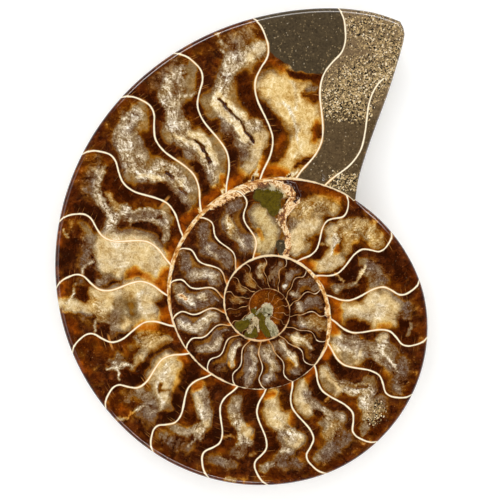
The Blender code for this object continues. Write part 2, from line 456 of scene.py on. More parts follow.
# the crystal band that runs up each chamber: where its middle lies, then how it fades at its ends
bandCentre = [
    (0.0, 0.5), (0.15, 0.42), (0.3, 0.42), (0.55, 0.56), (0.68, 0.5), (0.8, 0.36), (1.0, 0.35),
]
bandEnds = [(0.0, 0.0), (0.04, 0.0), (0.12, 1.0), (0.8, 1.0), (0.9, 0.25), (1.0, 0.0)]
# azimuth: how strong the band is by itself, how warm it is, how much rust glows along the rim
bandByAzimuth = [
    (50, 0.0, 0.5, 0.0), (72, 0.9, 0.5, 0.2), (90, 0.9, 0.5, 0.34), (130, 0.8, 0.45, 0.34),
    (136, 0.2, 0.4, 0.34), (405, 0.2, 0.4, 0.32), (455, 0.5, 0.1, 0.3), (640, 0.5, 0.1, 0.2),
    (780, 0.5, 0.15, 0.3), (905, 0.4, 0.2, 0.5), (960, 0.3, 0.5, 0.6), (1500, 0.3, 0.5, 0.6),
]
outerWhorlEnds = 410
darkByAzimuth = [(600, 0.0), (680, 0.6), (780, 0.6), (880, 1.0)]
hookGlowByAzimuth = [(50, 0.2), (405, 0.25), (430, 0.42), (600, 0.4), (660, 0.0)]
# the level top of the mud that washed into the second chamber
mudLine = [(70, 0.62), (80, 0.62), (83, 0.64), (87, 0.72), (89, 0.765), (96, 0.9)]


# the paints; full and gone are the multiples of a brush's radius where it starts to thin and ends
def crystal(full, gone, pale, warm, crisp, amber=0.0, **more):
    return dict(more, reach=(full, gone), pale=pale, warm=warm, crisp=crisp, dark=0.0, amber=amber)


def hollow(full, gone, pale, **more):
    return dict(more, reach=(full, gone), pale=pale, dark=1.0, amber=0.0, vein=0.0)


def glowing(full, gone, amber, pale, crisp):
    return dict(reach=(full, gone), amber=amber, pale=pale, crisp=crisp, dark=0.0)


def sediment(full, gone, **layers):
    return dict(layers, reach=(full, gone))


paintKinds = {
    "ridge": crystal(0.5, 1.15, 0.82, 0.36, 1.0, skirt=0.36),
    "white": crystal(0.4, 1.1, 1.0, 0.45, 0.7),
    "lip": crystal(0.5, 1.1, 1.0, 0.75, 0.5),
    "cream": crystal(0.4, 1.25, 0.82, 0.72, 0.18, skirt=0.34),
    "straw": crystal(0.4, 1.25, 0.8, 1.05, 0.3, skirt=0.34),
    "milk": crystal(0.3, 1.3, 0.7, 0.25, 0.6, skirt=0.3),
    "lilac": crystal(0.2, 1.5, 0.44, 0.0, 0.8),
    "haze": crystal(0.3, 1.3, 0.5, 0.2, 0.9),
    "honey": crystal(0.5, 1.3, 0.42, 0.5, 0.0),
    "tan": crystal(0.4, 1.3, 0.64, 0.75, 1.0),
    "peach": crystal(0.4, 1.3, 0.62, 0.66, 0.9, amber=0.16),
    "brown": hollow(0.4, 1.5, 0.0),
    "slit": hollow(0.7, 1.2, 0.12, crisp=0.0),
    "amber": glowing(0.0, 1.8, 0.92, 0.16, 0.1),
    "rust": glowing(0.85, 1.1, 0.42, 0.14, 0.7),
    "mud": sediment(0.5, 1.5, mud=1.0, green=0.0),
    "olive": sediment(0.5, 1.5, mud=1.0, green=1.0),
    "green": sediment(0.4, 1.5, green=1.0),
    "grain": sediment(0.4, 1.5, grain=1.0),
    "vein": sediment(0.5, 1.5, vein=1.0),
    "chalk": sediment(0.5, 1.4, vein=1.0, green=0.75),
    "sage": sediment(0.6, 1.2, vein=1.0, green=1.0),
}
slit = {"depth": 0.8, "floor": 0.2, "lip": 1.1, "fineWithin": 1.4, "searchTurn": 396.0}

# each stroke: kind, radius in mm, strength, then azimuth and height of the points the brush passes
strokes = [
    # sediment by the sawn end
    ("grain", 7, 1, 61, .75, 67, .62, 70, .52), ("grain", 5, .8, 62, .9, 71, .9),
    ("grain", 3, .9, 64, .45, 73, .42), ("grain", 2.5, 1, 54, .08, 60, .05),
    # second chamber
    ("straw", 5.5, 1, 84, .52, 80, .4, 77, .28, 77, .18, 82, .13),
    ("straw", 4, 1, 89, .57, 86, .52, 83, .4), ("white", .8, .6, 84, .6, 82, .5, 81, .42),
    ("honey", 1.5, .6, 80, .3, 83, .22),
    ("amber", 1.1, .7, 76.5, .6, 80, .585, 83, .6, 87, .67, 89, .72),
    ("brown", 1, .9, 76.5, .6, 79.5, .59, 82, .6, 84.5, .63), ("brown", 1.5, .8, 76.5, .47, 79, .5),
    ("lilac", .7, .8, 77, .53, 79, .52), ("brown", 1.6, .9, 72.5, .27, 74, .3),
    ("amber", 1, .8, 73.5, .23, 74.5, .33), ("brown", 2.6, .9, 87.5, .33, 86, .28, 85.3, .2, 86.5, .14),
    ("amber", 1.6, .7, 84.5, .24, 84.8, .16), ("brown", 1.2, .8, 88, .38, 89.8, .41),
    ("brown", 1.3, .8, 73, .12, 77, .09), ("amber", 1.6, 1, 82, .03, 87, .05, 92, .04),
    ("white", .5, .8, 78.7, .22, 80.5, .31, 83, .42, 86, .46),
    # third
    ("lilac", 3.5, .6, 94, .92, 98, .9),
    ("ridge", 2.6, 1, 91.5, .79, 94.5, .78, 97.5, .77, 99.5, .7, 101.5, .63),
    ("cream", 1.6, .9, 90.8, .8, 93.5, .77), ("ridge", 1.8, .9, 104, .56, 101, .44, 98, .32, 96, .22),
    ("haze", 2.2, .9, 102.5, .4, 100, .3, 98, .18), ("honey", 2.2, 1, 105, .53, 105.5, .62),
    ("cream", 2.4, .9, 91.5, .27, 92.5, .2, 94.5, .13, 97, .11), ("ridge", 1.8, .8, 93, .33, 95, .36),
    ("lip", 1.1, 1, 95.8, .41, 98, .46, 100.5, .53,
     103, .61, 104, .58, 102.5, .5, 100, .42, 97.5, .33, 96, .27),
    ("slit", .42, 1, 94, .25, 97, .36, 99.5, .46, 101.5, .54, 102.6, .58),
    ("brown", 2.4, .9, 93, .44, 95, .54, 95.5, .64), ("brown", 1.5, .6, 101.5, .2, 102, .32),
    ("amber", 1.6, .9, 101, .07, 104, .05), ("amber", 1, .8, 90.5, .13, 92, .06, 96, .04),
    ("amber", .9, .8, 90.2, .71, 92, .69), ("white", .35, .9, 99, .84, 99.8, .93, 100.3, 1),
    ("brown", .9, .8, 90.3, .17),
    # fourth
    ("lilac", 2.8, .6, 111, .93, 116, .9), ("honey", 2, 1, 107, .85, 108.5, .8),
    ("ridge", 2.2, 1, 110, .86, 113, .85, 115.3, .8, 116, .7, 117, .62, 118.5, .57),
    ("ridge", 1.8, .9, 114, .72, 114.5, .6, 113.5, .52), ("brown", .7, .9, 109.2, .83),
    ("haze", 1.5, .9, 113.5, .62, 112.5, .66), ("brown", 2.2, .9, 109.8, .54, 110.8, .63),
    ("ridge", 1.5, 1, 116.5, .48, 114, .38, 112.5, .28, 111, .17),
    ("haze", 1.7, .9, 116.5, .38, 115, .32), ("haze", 1.7, .9, 113.5, .13, 114.5, .22),
    ("honey", 1.8, 1, 119.8, .58), ("honey", 2, 1, 106.5, .35, 106, .24, 108, .15),
    ("cream", 1.3, .6, 108.5, .14, 111, .12),
    ("lip", 1.2, 1, 113, .48, 111, .44, 109.6, .38, 108.8, .3, 108.6, .22),
    ("lip", .7, .9, 117.5, .53, 115.5, .46, 113.3, .39, 111.8, .3),
    ("slit", .42, 1, 112.8, .43, 111.3, .36, 110.4, .28, 110.2, .24),
    ("brown", 2, .9, 116.7, .26, 116.7, .14), ("brown", 1.6, .8, 118.3, .85, 118.3, .7),
    ("amber", 1.6, .9, 113, .05, 117.5, .05), ("amber", .9, .8, 107.5, .11, 109, .05),
    ("white", .35, .9, 106.5, .7, 109, .7, 112, .73),
    # fifth
    ("honey", 1.9, 1, 121.3, .85, 122.5, .79), ("lilac", 2.2, .5, 126, .9),
    ("ridge", 2.2, 1, 123.5, .83, 127, .84, 130.5, .82, 132, .72, 134.5, .6),
    ("ridge", 2, .9, 129, .74, 130, .63, 131, .56), ("brown", 2.5, .9, 124, .56, 125.2, .66),
    ("haze", 1.4, .9, 127.8, .58, 127.3, .7),
    ("ridge", 1.5, 1, 134.5, .56, 131.5, .48, 129, .39, 127.3, .3, 126.3, .18),
    ("lip", .7, .9, 133.5, .53, 131, .46, 128.5, .37),
    ("honey", 2.3, 1, 121, .35, 120.3, .22, 122, .14),
    ("ridge", 1.3, 1, 127.5, .48, 125, .44, 123.2, .36, 122.5, .28, 123, .2),
    ("lip", .8, .8, 123, .27, 124.5, .24), ("honey", 1.5, 1, 136.5, .6, 136.5, .55),
    ("haze", 2, .9, 129, .32, 127.8, .2, 128.5, .12), ("slit", .45, .9, 126.3, .4, 125, .33),
    ("slit", .45, .8, 125.3, .24, 125, .18), ("brown", 2.2, 1, 131.6, .33, 131.5, .14),
    ("amber", 1.4, .9, 126, .04, 130, .05, 133, .07),
    # sixth
    ("honey", 1.6, 1, 135.3, .24, 136.6, .17),
    ("white", .7, 1, 137, .23, 139.5, .31, 142, .4, 144.5, .46, 147, .54),
    ("haze", 1.5, .9, 139, .27, 142, .34, 145, .42, 149, .55),
    ("ridge", 1.5, 1, 144.5, .5, 148, .56, 152, .58, 153.5, .57),
    ("white", .6, .9, 140.8, .22, 143, .3, 145.5, .38, 147.5, .42, 150.5, .37),
    ("ridge", .8, .9, 137, .21, 140, .16, 143, .13, 146, .12), ("haze", 1.4, .7, 141, .2, 143, .14),
    ("ridge", 1.4, 1, 140, .81, 143.5, .8, 146, .76, 147.5, .69, 148.5, .62),
    ("tan", 1, .9, 143.2, .7, 144.5, .64, 146, .57), ("lilac", 2.2, .5, 139, .87, 143, .88, 147, .84),
    ("brown", 2.2, 1, 139.3, .52, 140.5, .62, 141.5, .7),
    ("brown", 2.4, 1, 148.5, .33, 148.5, .2, 146.5, .25), ("brown", 1.8, .8, 151, .72, 151.5, .85),
    ("amber", 1.2, .8, 144, .04, 149, .05, 152, .07), ("amber", 1, .5, 143.5, .95),
    # seventh
    ("cream", 3.4, 1, 157.5, .55, 155.5, .42, 153.5, .32, 153, .2, 155, .12),
    ("cream", 3.6, 1, 162, .5, 160, .36, 159.5, .22, 161, .13),
    ("cream", 2.6, 1, 165.5, .55, 163, .58, 158.5, .6), ("cream", 2, .9, 166, .44, 163.5, .42),
    ("lip", 1.4, .5, 157, .5, 156, .4), ("amber", 1.8, .9, 166.8, .33, 165.4, .27, 167.3, .19),
    ("amber", 1.2, .6, 163.4, .3), ("brown", .9, .5, 168, .29),
    ("lilac", 2, .7, 158, .72, 163, .73, 167, .76), ("brown", 1.3, .7, 160, .85, 163.5, .84),
    ("white", .5, .8, 165, .67, 167, .73, 169.3, .77),
    ("haze", 1.4, .9, 168.5, .52, 170.5, .58, 171.8, .63), ("brown", 1.2, .9, 168.8, .69, 170.5, .68),
    ("honey", 1.4, .8, 155.3, .8, 156.5, .74), ("white", .45, .8, 158.8, .94, 160.3, .9),
    ("amber", 1, .4, 161, .95, 163, .96), ("brown", 1.3, .9, 163, .88, 166, .9, 168, .95),
    ("amber", 1.4, .9, 160, .04, 165, .06, 168, .08),
    # eighth
    ("cream", 2.4, 1, 171, .33, 169.8, .22, 172.5, .14),
    ("cream", 3, 1, 174.5, .3, 176, .2, 180, .22, 184, .2, 185.5, .27),
    ("white", .9, .8, 172, .25, 176, .28, 180, .26, 184, .36, 186.5, .42),
    ("cream", 2.2, 1, 175.5, .64, 176, .53, 174.5, .45), ("cream", 1.8, .9, 184.5, .4, 187, .46),
    ("honey", 2.6, 1, 178, .36, 181.5, .36, 180, .46, 183.5, .5),
    ("green", 2, .8, 178.5, .36, 181.5, .36), ("brown", 1, .4, 179, .35, 182, .35),
    ("haze", 2, .8, 183, .52, 186.5, .55, 189, .58), ("brown", 1.2, .7, 186, .62, 189, .63),
    ("cream", 2, 1, 179.5, .56, 180, .66, 180, .76, 179, .86, 178.8, .98),
    ("tan", 1.8, .8, 183, .64, 178, .68), ("white", .4, .9, 172.5, .82, 176, .85, 178.3, .9, 179.2, 1),
    ("white", .4, .8, 181, .4, 183.5, .385), ("brown", 1.6, .9, 174, .78, 176.8, .75),
    ("lilac", 1.4, .8, 171.8, .78), ("amber", 1.3, .6, 174, .93, 176, .95),
    ("amber", 1.5, .5, 184, .92, 187, .88), ("white", .4, .8, 184.5, .7, 188, .74),
    ("lilac", 1.8, .5, 184, .78), ("brown", 1.1, .9, 177.3, .1, 178.5, .08), ("honey", 1, .8, 175, .12),
    ("amber", 1.4, .9, 181, .04, 186, .06),
    # ninth, mostly dark
    ("amber", 2.2, .8, 189.5, .28, 191.5, .24, 190.5, .18),
    ("tan", 2.4, .9, 196, .33, 196, .22, 194, .3), ("tan", 1.5, .7, 193, .3),
    ("cream", 1.3, .9, 206, .54, 203.5, .49, 201.3, .42, 199.7, .33, 198.5, .22, 197.5, .12),
    ("haze", 1.8, .8, 199, .6, 201.5, .62, 200.5, .7),
    ("white", .5, .9, 201, .76, 202.3, .67, 201.2, .58, 203.5, .53),
    ("white", .3, .9, 202.6, .68, 207, .73), ("white", .3, .7, 201.8, .66, 199, .7),
    ("amber", 1.2, .5, 193.5, .6, 196, .65), ("amber", 1, .5, 198, .53), ("lilac", 1.2, .6, 196.5, .46),
    ("brown", 2.6, 1, 208.3, .6, 209, .52, 207, .46), ("brown", 2, .6, 203, .28, 202, .15),
    ("amber", 1, .6, 190.5, .72, 193.5, .74), ("amber", 1.2, .5, 197, .94, 200, .95),
    ("haze", .8, .6, 193, .38, 195, .36),
    # tenth
    ("cream", 2.8, 1, 209, .28, 208.8, .2, 212, .17, 215, .2),
    ("cream", 2.6, 1, 212.5, .32, 214.5, .4, 212, .4), ("white", 1.2, .8, 210, .22, 212, .3, 214, .36),
    ("cream", 2, 1, 217, .45, 221, .48, 224, .54), ("white", .7, .9, 214.5, .43, 219, .5, 224.5, .56),
    ("cream", 1.8, .8, 219.5, .36, 217, .28), ("haze", 2.5, .9, 214, .62, 218.5, .62, 222, .68),
    ("lilac", 1.8, .6, 211, .72, 213.5, .76), ("lilac", 2.2, .6, 220, .76, 224, .76),
    ("brown", .5, .8, 215.8, .42, 218.3, .47), ("brown", .4, .7, 218.8, .45, 220.5, .42),
    ("white", .4, .9, 218.6, .68, 218.1, .8, 218.5, .9, 217.3, .98), ("brown", .9, .7, 212.5, .78),
    ("amber", 1.4, .6, 215, .87, 218, .86), ("tan", .6, .9, 217.3, .96),
    ("amber", 2, .6, 221.5, .24, 219.5, .16, 223.5, .32),
    ("brown", 2.2, .9, 223, .14, 224.5, .24, 218, .06), ("brown", 2.2, 1, 228, .6, 229, .5, 227.3, .45),
    ("honey", 1.2, .7, 226.3, .53), ("amber", 1.2, .9, 211, .08, 215, .08),
    # eleventh
    ("lilac", 2.2, .7, 231.5, .8, 236, .8, 241, .76),
    ("milk", 1.3, 1, 232.5, .67, 235.5, .655, 238, .63, 239.5, .57),
    ("cream", 1.4, 1, 244.3, .52, 242, .45, 240, .4), ("ridge", 1.5, 1, 242, .57, 243.5, .6),
    ("white", .8, .9, 240.7, .5, 242.3, .58, 243.3, .52),
    ("milk", 1.9, 1, 240, .4, 238, .34, 235.2, .28, 232.5, .23, 230.5, .2),
    ("cream", 1, .9, 237.5, .36, 235, .32, 232.5, .27),
    ("white", .5, .9, 235.5, .33, 238.5, .38, 241, .47),
    ("white", .35, .8, 240.5, .56, 241.8, .66, 241, .76), ("haze", 1.2, .6, 235.5, .18, 238, .26),
    ("amber", 1.2, .9, 228.3, .21, 229.5, .17), ("amber", 1.3, .5, 233, .5, 235, .57),
    ("brown", 1.6, .7, 236, .5), ("honey", 1, .8, 245.8, .52), ("brown", 2.2, 1, 248, .58, 248.5, .52),
    ("brown", 1.4, .8, 247, .7), ("amber", .9, .5, 232, .1, 235, .08),
    # twelfth
    ("lilac", 2, .7, 250.5, .8, 255, .8), ("haze", 1.2, .8, 256.5, .78, 259, .81),
    ("haze", 1.6, .9, 257, .66, 260, .68, 261.5, .6),
    ("ridge", 1.7, 1, 263, .53, 260.5, .48, 258.3, .42, 256.3, .35, 254.3, .28),
    ("cream", 1.6, .9, 262.5, .46, 260, .41), ("white", .6, .8, 258.5, .6, 260.5, .56, 259, .5),
    ("milk", 2, 1, 253.5, .22, 254, .14, 256.5, .15, 256.5, .26), ("white", .4, .8, 253.5, .3, 256, .3),
    ("brown", 1.8, .8, 252.5, .5, 254.5, .6), ("amber", .9, .5, 251.5, .68, 254, .68),
    ("amber", 1, .7, 265.5, .5), ("tan", .6, .7, 264, .68, 266.5, .66),
    ("amber", .8, .6, 262, .36, 265, .34), ("brown", 2.4, .9, 260.8, .25, 260.5, .1),
    ("tan", .8, .9, 257.8, .96, 259.5, .95), ("brown", 2, 1, 267.8, .6, 268.5, .52),
    ("tan", .4, .8, 252, .54, 256, .52),
    # thirteenth
    ("milk", 1.2, .9, 269.8, .82, 271.5, .78), ("lilac", 2.2, .8, 275, .76, 279, .78, 282, .8),
    ("haze", 2, .8, 275.5, .62, 278.5, .62, 277, .52), ("milk", 1.5, .9, 277.5, .67, 280.5, .65),
    ("white", .5, .7, 276, .67, 279, .66), ("cream", 1.8, 1, 284.5, .57, 282, .6, 280.5, .54),
    ("white", 1, .9, 280.5, .58, 283.5, .54, 285.5, .55),
    ("ridge", 1.8, .9, 281.5, .5, 279, .47, 277, .42),
    ("cream", 2.8, 1, 277.5, .35, 275.8, .22, 276.5, .12, 279, .28),
    ("cream", 2, .9, 273.7, .32, 273.3, .2), ("white", .6, .6, 275, .3, 279, .36),
    ("tan", .5, .8, 279.5, .44, 281.3, .47), ("amber", .9, .9, 271.5, .07, 275.5, .055),
    ("amber", 1.3, .7, 283.3, .38, 284, .32), ("brown", 1.8, .8, 273, .6, 272.3, .52),
    ("brown", 2, .8, 282.8, .2, 282, .1), ("amber", 1.2, .6, 284, .75, 286, .73),
    # fourteenth
    ("milk", 1.3, .8, 289, .83, 291.5, .8), ("lilac", 2.6, .8, 293, .8, 298, .78, 302, .76),
    ("tan", 2.2, .8, 296.5, .64, 300, .6, 303.5, .58), ("haze", 2, .8, 297, .53, 299, .5),
    ("milk", 1.3, .9, 304.5, .57, 302, .52, 299.5, .45), ("ridge", 1, .8, 301, .45, 298, .37, 296, .3),
    ("cream", 2, 1, 292.3, .32, 291.3, .2, 294, .12, 297.5, .1), ("haze", 2.4, .9, 298, .3, 297.3, .2),
    ("brown", .5, .6, 298.5, .46, 296, .36), ("amber", 1.3, .5, 291.5, .66, 293, .58),
    ("brown", 1.2, .6, 292, .56), ("brown", 2, 1, 303, .26, 302.5, .12),
    ("tan", .4, .8, 302.5, .35, 305.5, .33), ("amber", 1.2, .9, 301.5, .05, 305, .04),
    # fifteenth
    ("milk", 1.3, .8, 308.5, .82, 310.5, .79), ("haze", 2.4, .9, 313.5, .76, 317, .74, 321, .76),
    ("grain", 2, .9, 314.5, .79, 318.5, .77), ("tan", 2, .6, 315, .7, 318, .66),
    ("ridge", 2, .9, 315.5, .64, 320, .62, 323.5, .57), ("honey", 1.2, 1, 326, .57, 324.8, .52),
    ("ridge", 1.5, .9, 319.5, .53, 316.8, .45, 314.8, .37),
    ("tan", .5, .8, 323.3, .54, 320, .47, 317.5, .41, 315.5, .35),
    ("slit", .4, .8, 322.8, .56, 321, .52, 319, .48),
    ("lip", .8, 1, 312.5, .29, 314.5, .24, 316.3, .22),
    ("cream", 1.8, 1, 311.3, .33, 310.5, .22, 313, .12), ("honey", 1.2, .9, 309.5, .3, 309.3, .2),
    ("haze", 2, .8, 317.8, .3, 318, .16), ("amber", 1.2, .6, 311.3, .62, 312.3, .54),
    ("brown", 2.2, 1, 322.5, .3, 322, .17), ("amber", 1.4, 1, 321.5, .04, 326, .05),
    # sixteenth
    ("lilac", 2.4, .8, 328.5, .81, 333, .82, 338, .8), ("white", .5, .6, 328.5, .8),
    ("haze", 2.2, .9, 334, .68, 338, .64, 341.5, .66),
    ("ridge", 1.8, .9, 336, .56, 340, .52, 343.5, .56), ("cream", 1.2, .9, 346.5, .56, 344.5, .52),
    ("white", .45, .9, 334.8, .74, 337, .67, 339.3, .58, 340.2, .54, 337.5, .45, 336.5, .38),
    ("cream", 2.2, 1, 330.5, .33, 329.6, .22, 332, .12),
    ("milk", 2.4, .9, 335.5, .36, 336.5, .22, 337, .12), ("lip", .6, 1, 333.3, .36, 336.5, .36),
    ("honey", 1.2, .9, 328.8, .3, 328.5, .2), ("amber", 1.2, .6, 330.8, .66, 332, .56),
    ("brown", 1.6, .9, 331.2, .55, 331.8, .48), ("brown", 1.2, .8, 343.6, .28, 343.2, .18),
    ("haze", 2, .9, 341.3, .26, 340, .35, 338.8, .44), ("amber", 1.5, 1, 341.5, .05, 346, .06),
    ("amber", .8, .6, 343.5, .33, 345.5, .31),
    # seventeenth
    ("brown", 2.2, .9, 348, .8, 352, .77), ("milk", .4, .8, 349.5, .8, 353.5, .83),
    ("lilac", 1.6, .9, 357, .78, 361, .8),
    ("cream", 2.8, 1, 355.5, .6, 354.3, .46, 353, .34, 353.3, .22),
    ("cream", 3, 1, 361, .64, 360, .48, 358.5, .34, 359, .2),
    ("cream", 2.6, 1, 366, .58, 365, .48, 364.5, .36, 364, .24),
    ("white", 1, .5, 356, .5, 355.5, .38, 357, .3), ("white", .5, .6, 360, .56, 362, .45),
    ("honey", 1.2, .9, 367.8, .57), ("brown", 2, 1, 348.8, .35, 348.8, .22),
    ("amber", 1.2, .6, 351, .53, 352, .6), ("amber", 1.5, .9, 353, .08, 359, .09, 364, .1),
    # eighteenth
    ("brown", 2, .5, 372, .86, 378, .87, 384, .84), ("lilac", 2.2, .9, 373.5, .62, 378, .6, 382.5, .58),
    ("haze", 1.8, .8, 373, .52, 377, .52), ("lip", .55, 1, 383, .53, 380.3, .47, 378, .41, 376, .35),
    ("honey", 1.3, 1, 385.5, .54), ("haze", 1.7, .9, 371.8, .3, 374.5, .22, 377.5, .19),
    ("milk", 1.6, .9, 373, .32, 374.5, .24, 376, .15), ("white", .4, .8, 373.3, .2, 376.5, .3),
    ("white", .4, .7, 374, .13, 378, .17), ("brown", 2.2, 1, 368.8, .34, 369, .24),
    ("brown", 2.2, 1, 381.5, .34, 381.5, .18), ("tan", .35, .9, 378.5, .23, 382, .23, 386, .2),
    ("tan", .6, .7, 371, .61, 372.3, .62), ("amber", 1.4, 1, 382, .05, 388, .07),
    ("brown", 1, .6, 376, .45),
    # nineteenth
    ("peach", 2.6, 1, 391.5, .8, 396, .82, 400, .8, 403.5, .72),
    ("peach", 2, .9, 400, .65, 397.5, .56, 402.5, .6),
    ("cream", 1.5, .9, 409.3, .58, 410, .53, 406.5, .5),
    ("cream", 1.8, 1, 405, .44, 402.5, .36, 400.5, .28),
    ("white", .9, 1, 406, .52, 403, .45, 399.8, .37, 397, .3),
    ("amber", .6, .9, 400.5, .44, 398, .38, 395.8, .3),
    ("cream", 1.8, .9, 394.3, .34, 393.5, .22, 396, .13), ("cream", 2, .9, 399, .22, 400, .12),
    ("amber", 1.3, .5, 391.5, .66, 394, .6), ("brown", 1.4, .8, 392.5, .56, 394, .5),
    ("brown", 1.6, 1, 405.8, .3, 405.5, .2), ("tan", .3, .8, 404.5, .36, 409, .34),
    ("amber", 1.6, 1, 403, .05, 408, .05, 411, .04), ("tan", 1.6, .7, 395, .48),
    ("tan", 1.4, .8, 408, .67, 405.5, .72),
    # twentieth, and the crust that broke through beside it
    ("peach", 3.2, 1, 417, .8, 423, .74, 428, .68), ("peach", 2.2, .9, 431, .55, 428, .6),
    ("cream", 2.6, 1, 420, .5, 425, .4, 427, .28, 425, .18), ("haze", 1.8, .8, 432, .45),
    ("amber", 1.4, .5, 414, .93, 422, .94, 430, .93), ("cream", 1.8, .7, 417, .22, 421, .14),
    ("cream", 2.6, 1, 454, .58, 450, .45, 447, .35, 445, .25, 449, .14, 455, .2),
    ("green", 3.2, .7, 453, .55, 449, .42, 446, .3, 449, .14), ("amber", .9, .6, 455, .35, 453, .25),
    ("olive", 1.9, 1, 444.5, .79, 448.5, .83, 452, .83),
    ("olive", 1.7, 1, 443.8, .6, 445.5, .68, 449, .7), ("mud", 1.3, 1, 433, .07, 436.5, .13, 434, .16),
    ("vein", .8, 1, 429.5, .03, 429.3, .14, 432, .25, 435, .33, 438, .42),
    ("vein", 1.2, 1, 439.6, .44, 439.2, .5, 438, .58, 435.8, .66, 434.3, .72),
    ("vein", 1.3, 1, 436.2, .76, 437.2, .81, 440, .86, 443, .91, 450, .95, 455.4, .97),
    ("vein", .9, 1, 455, .96, 463, .93, 471, .95, 479, .98),
    ("lip", .45, .9, 440.3, .91, 437.9, .87, 436.2, .81, 436, .76),
    ("slit", .5, 1, 441, .95, 437, .92, 434.4, .83, 434.2, .74), ("tan", .9, 1, 440.5, .86, 439.5, .76),
    ("lip", .45, 1, 441.5, .83, 440.2, .75), ("amber", .6, 1, 437.5, .62, 438.2, .5),
    ("brown", .35, .8, 438.5, .72, 438.5, .78), ("lip", .5, 1, 63.5, .02, 66.5, .03),
    ("slit", .3, 1, 65.5, .035, 66.6, .05), ("lip", .55, 1, 61.8, .05, 65.2, .02),
    ("lip", .45, 1, 78, .04, 80.5, .02), ("lip", .5, 1, 76.5, .05, 79, .01),
    ("slit", .3, 1, 78.9, .022, 80.4, .012), ("lip", .5, 1, 92.2, .08, 95.5, .03),
    ("lip", .45, 1, 93.5, .04, 97.3, .01), ("slit", .3, 1, 94.8, .03, 96.3, .018),
    ("lip", .45, .9, 108.2, .05, 110.5, .02), ("lip", .4, .9, 122.5, .04, 124.5, .015),
    # second whorl
    ("lilac", 2, .8, 464, .8, 470, .76, 476, .66), ("tan", 1.6, 1, 473, .66, 474, .5),
    ("milk", 1.2, .9, 472, .45, 469, .32, 466, .25), ("lilac", 1.7, .8, 463, .3, 465, .2, 471, .2),
    ("lilac", 2, .9, 487, .82, 492, .76, 496, .62, 492, .45, 488, .3, 489, .2),
    ("white", .9, .8, 493, .58), ("lilac", 1.8, .9, 507, .85, 514, .78),
    ("milk", 1.6, .8, 517, .62, 513, .52, 509, .38, 508, .25, 512, .25),
    ("milk", 1.6, 1, 528, .82, 533, .75, 535, .6), ("milk", 1.1, .9, 533, .48, 530, .38, 529, .3),
    ("lilac", 1.5, .8, 526, .3, 534, .24, 539, .5, 540, .65), ("vein", .6, .8, 531, .8, 533, .7),
    ("lilac", 1.5, .9, 547, .85, 552, .76),
    ("milk", 1.4, .9, 553, .82, 556, .68, 559, .6, 556, .5, 551, .4, 548, .28, 550, .22),
    ("lilac", 1.2, .8, 571, .82, 575, .72, 578, .6, 574, .45, 570, .3),
    ("white", .9, .8, 598, .66, 595, .5, 592, .35, 591, .28, 594, .2),
    ("lilac", .9, .5, 592, .85, 597, .8), ("amber", 1.2, .8, 600, .64),
    ("lilac", 1.7, 1, 616, .85, 618, .7, 616, .5, 612, .35, 611, .25, 618, .2),
    ("lilac", 1.5, .9, 630, .85, 636, .8), ("milk", 1.4, .9, 640, .6, 637, .5),
    ("milk", 1.8, .8, 634, .36, 630, .22, 636, .2), ("lilac", 1.1, .8, 655, .85, 659, .9),
    ("cream", 1, 1, 658, .72, 660, .62, 659, .55), ("milk", 1.4, .8, 655, .45, 652, .3, 653, .2),
    ("amber", 1.6, .6, 653, .62), ("tan", 1.5, .8, 683, .6, 679, .5, 675, .4),
    ("cream", 1, 1, 673, .28, 678, .3), ("tan", 2, .8, 703, .8, 705, .65, 700, .5),
    ("milk", 1.2, .9, 695, .3, 700, .32), ("lilac", 1.4, .9, 727, .8, 729, .6, 724, .45),
    ("milk", 1.2, .8, 719, .28, 724, .3), ("lilac", 1.1, .8, 740, .85, 752, .8, 755, .6),
    ("milk", .9, .9, 742, .3, 747, .22), ("lilac", .9, .7, 768, .8, 775, .7, 770, .4, 768, .25),
    ("vein", .9, 1, 713, 1, 719, .97), ("white", .7, .7, 475.2, .57, 473.6, .71),
    ("white", .9, .6, 471.4, .34, 469, .24), ("white", .8, .6, 495.2, .59, 493.3, .38),
    ("white", 1, .6, 513.7, .52, 507.2, .25), ("white", 1.1, .9, 531.2, .78, 533.1, .71, 537, .6),
    ("white", .9, .8, 531.5, .43, 529.3, .34),
    ("white", 1.1, .8, 549.1, .87, 557.1, .69, 550, .37, 547.7, .23),
    ("white", .9, .6, 574, .34, 579, .55, 572, .77), ("white", .5, .8, 593, .18, 596, .48, 600, .66),
    ("white", .7, .5, 612, .17, 620, .47, 617, .86), ("white", 1, .6, 628, .16, 637, .53, 633, .82),
    ("white", .6, .8, 654, .14, 660, .51, 659, .74), ("white", .6, .8, 675, .26, 679, .49, 679, .74),
    ("white", .6, .9, 698, .36), ("white", .6, .7, 766.8, .23), ("white", .7, .7, 744.6, .23),
    ("white", .6, .6, 725.1, .25), ("white", .5, .5, 795.9, .62, 799.9, .26),
    # third whorl and the first chambers
    ("lilac", 1.1, .8, 788, .7, 792, .4), ("tan", 1, .7, 812, .75, 818, .45),
    ("tan", 1, .7, 838, .6, 842, .3), ("tan", .9, .7, 862, .6, 864, .35),
    ("tan", .9, .7, 884, .6, 886, .35),
]


def brushAway(azimuth, height, radius, tall, way):
    # how far each corner lies from the line drawn through these points, in mm
    points = np.array(way, float).reshape(-1, 2)
    ends = points[1:] if len(points) > 1 else points
    perDegree = np.radians(1.0) * radius
    nearest = np.full(len(azimuth), far)
    for a, b in zip(points, ends):
        ax = (azimuth - a[0]) * perDegree
        ay = (height - a[1]) * tall
        bx = (b[0] - a[0]) * perDegree
        by = (b[1] - a[1]) * tall
        t = np.clip((ax * bx + ay * by) / np.maximum(bx * bx + by * by, 1e-9), 0.0, 1.0)
        nearest = np.minimum(nearest, np.hypot(ax - t * bx, ay - t * by))
    return nearest


def fadeOut(away, full, gone):
    t = np.clip((gone - away) / (gone - full), 0.0, 1.0)
    return t * t * (3.0 - 2.0 * t)


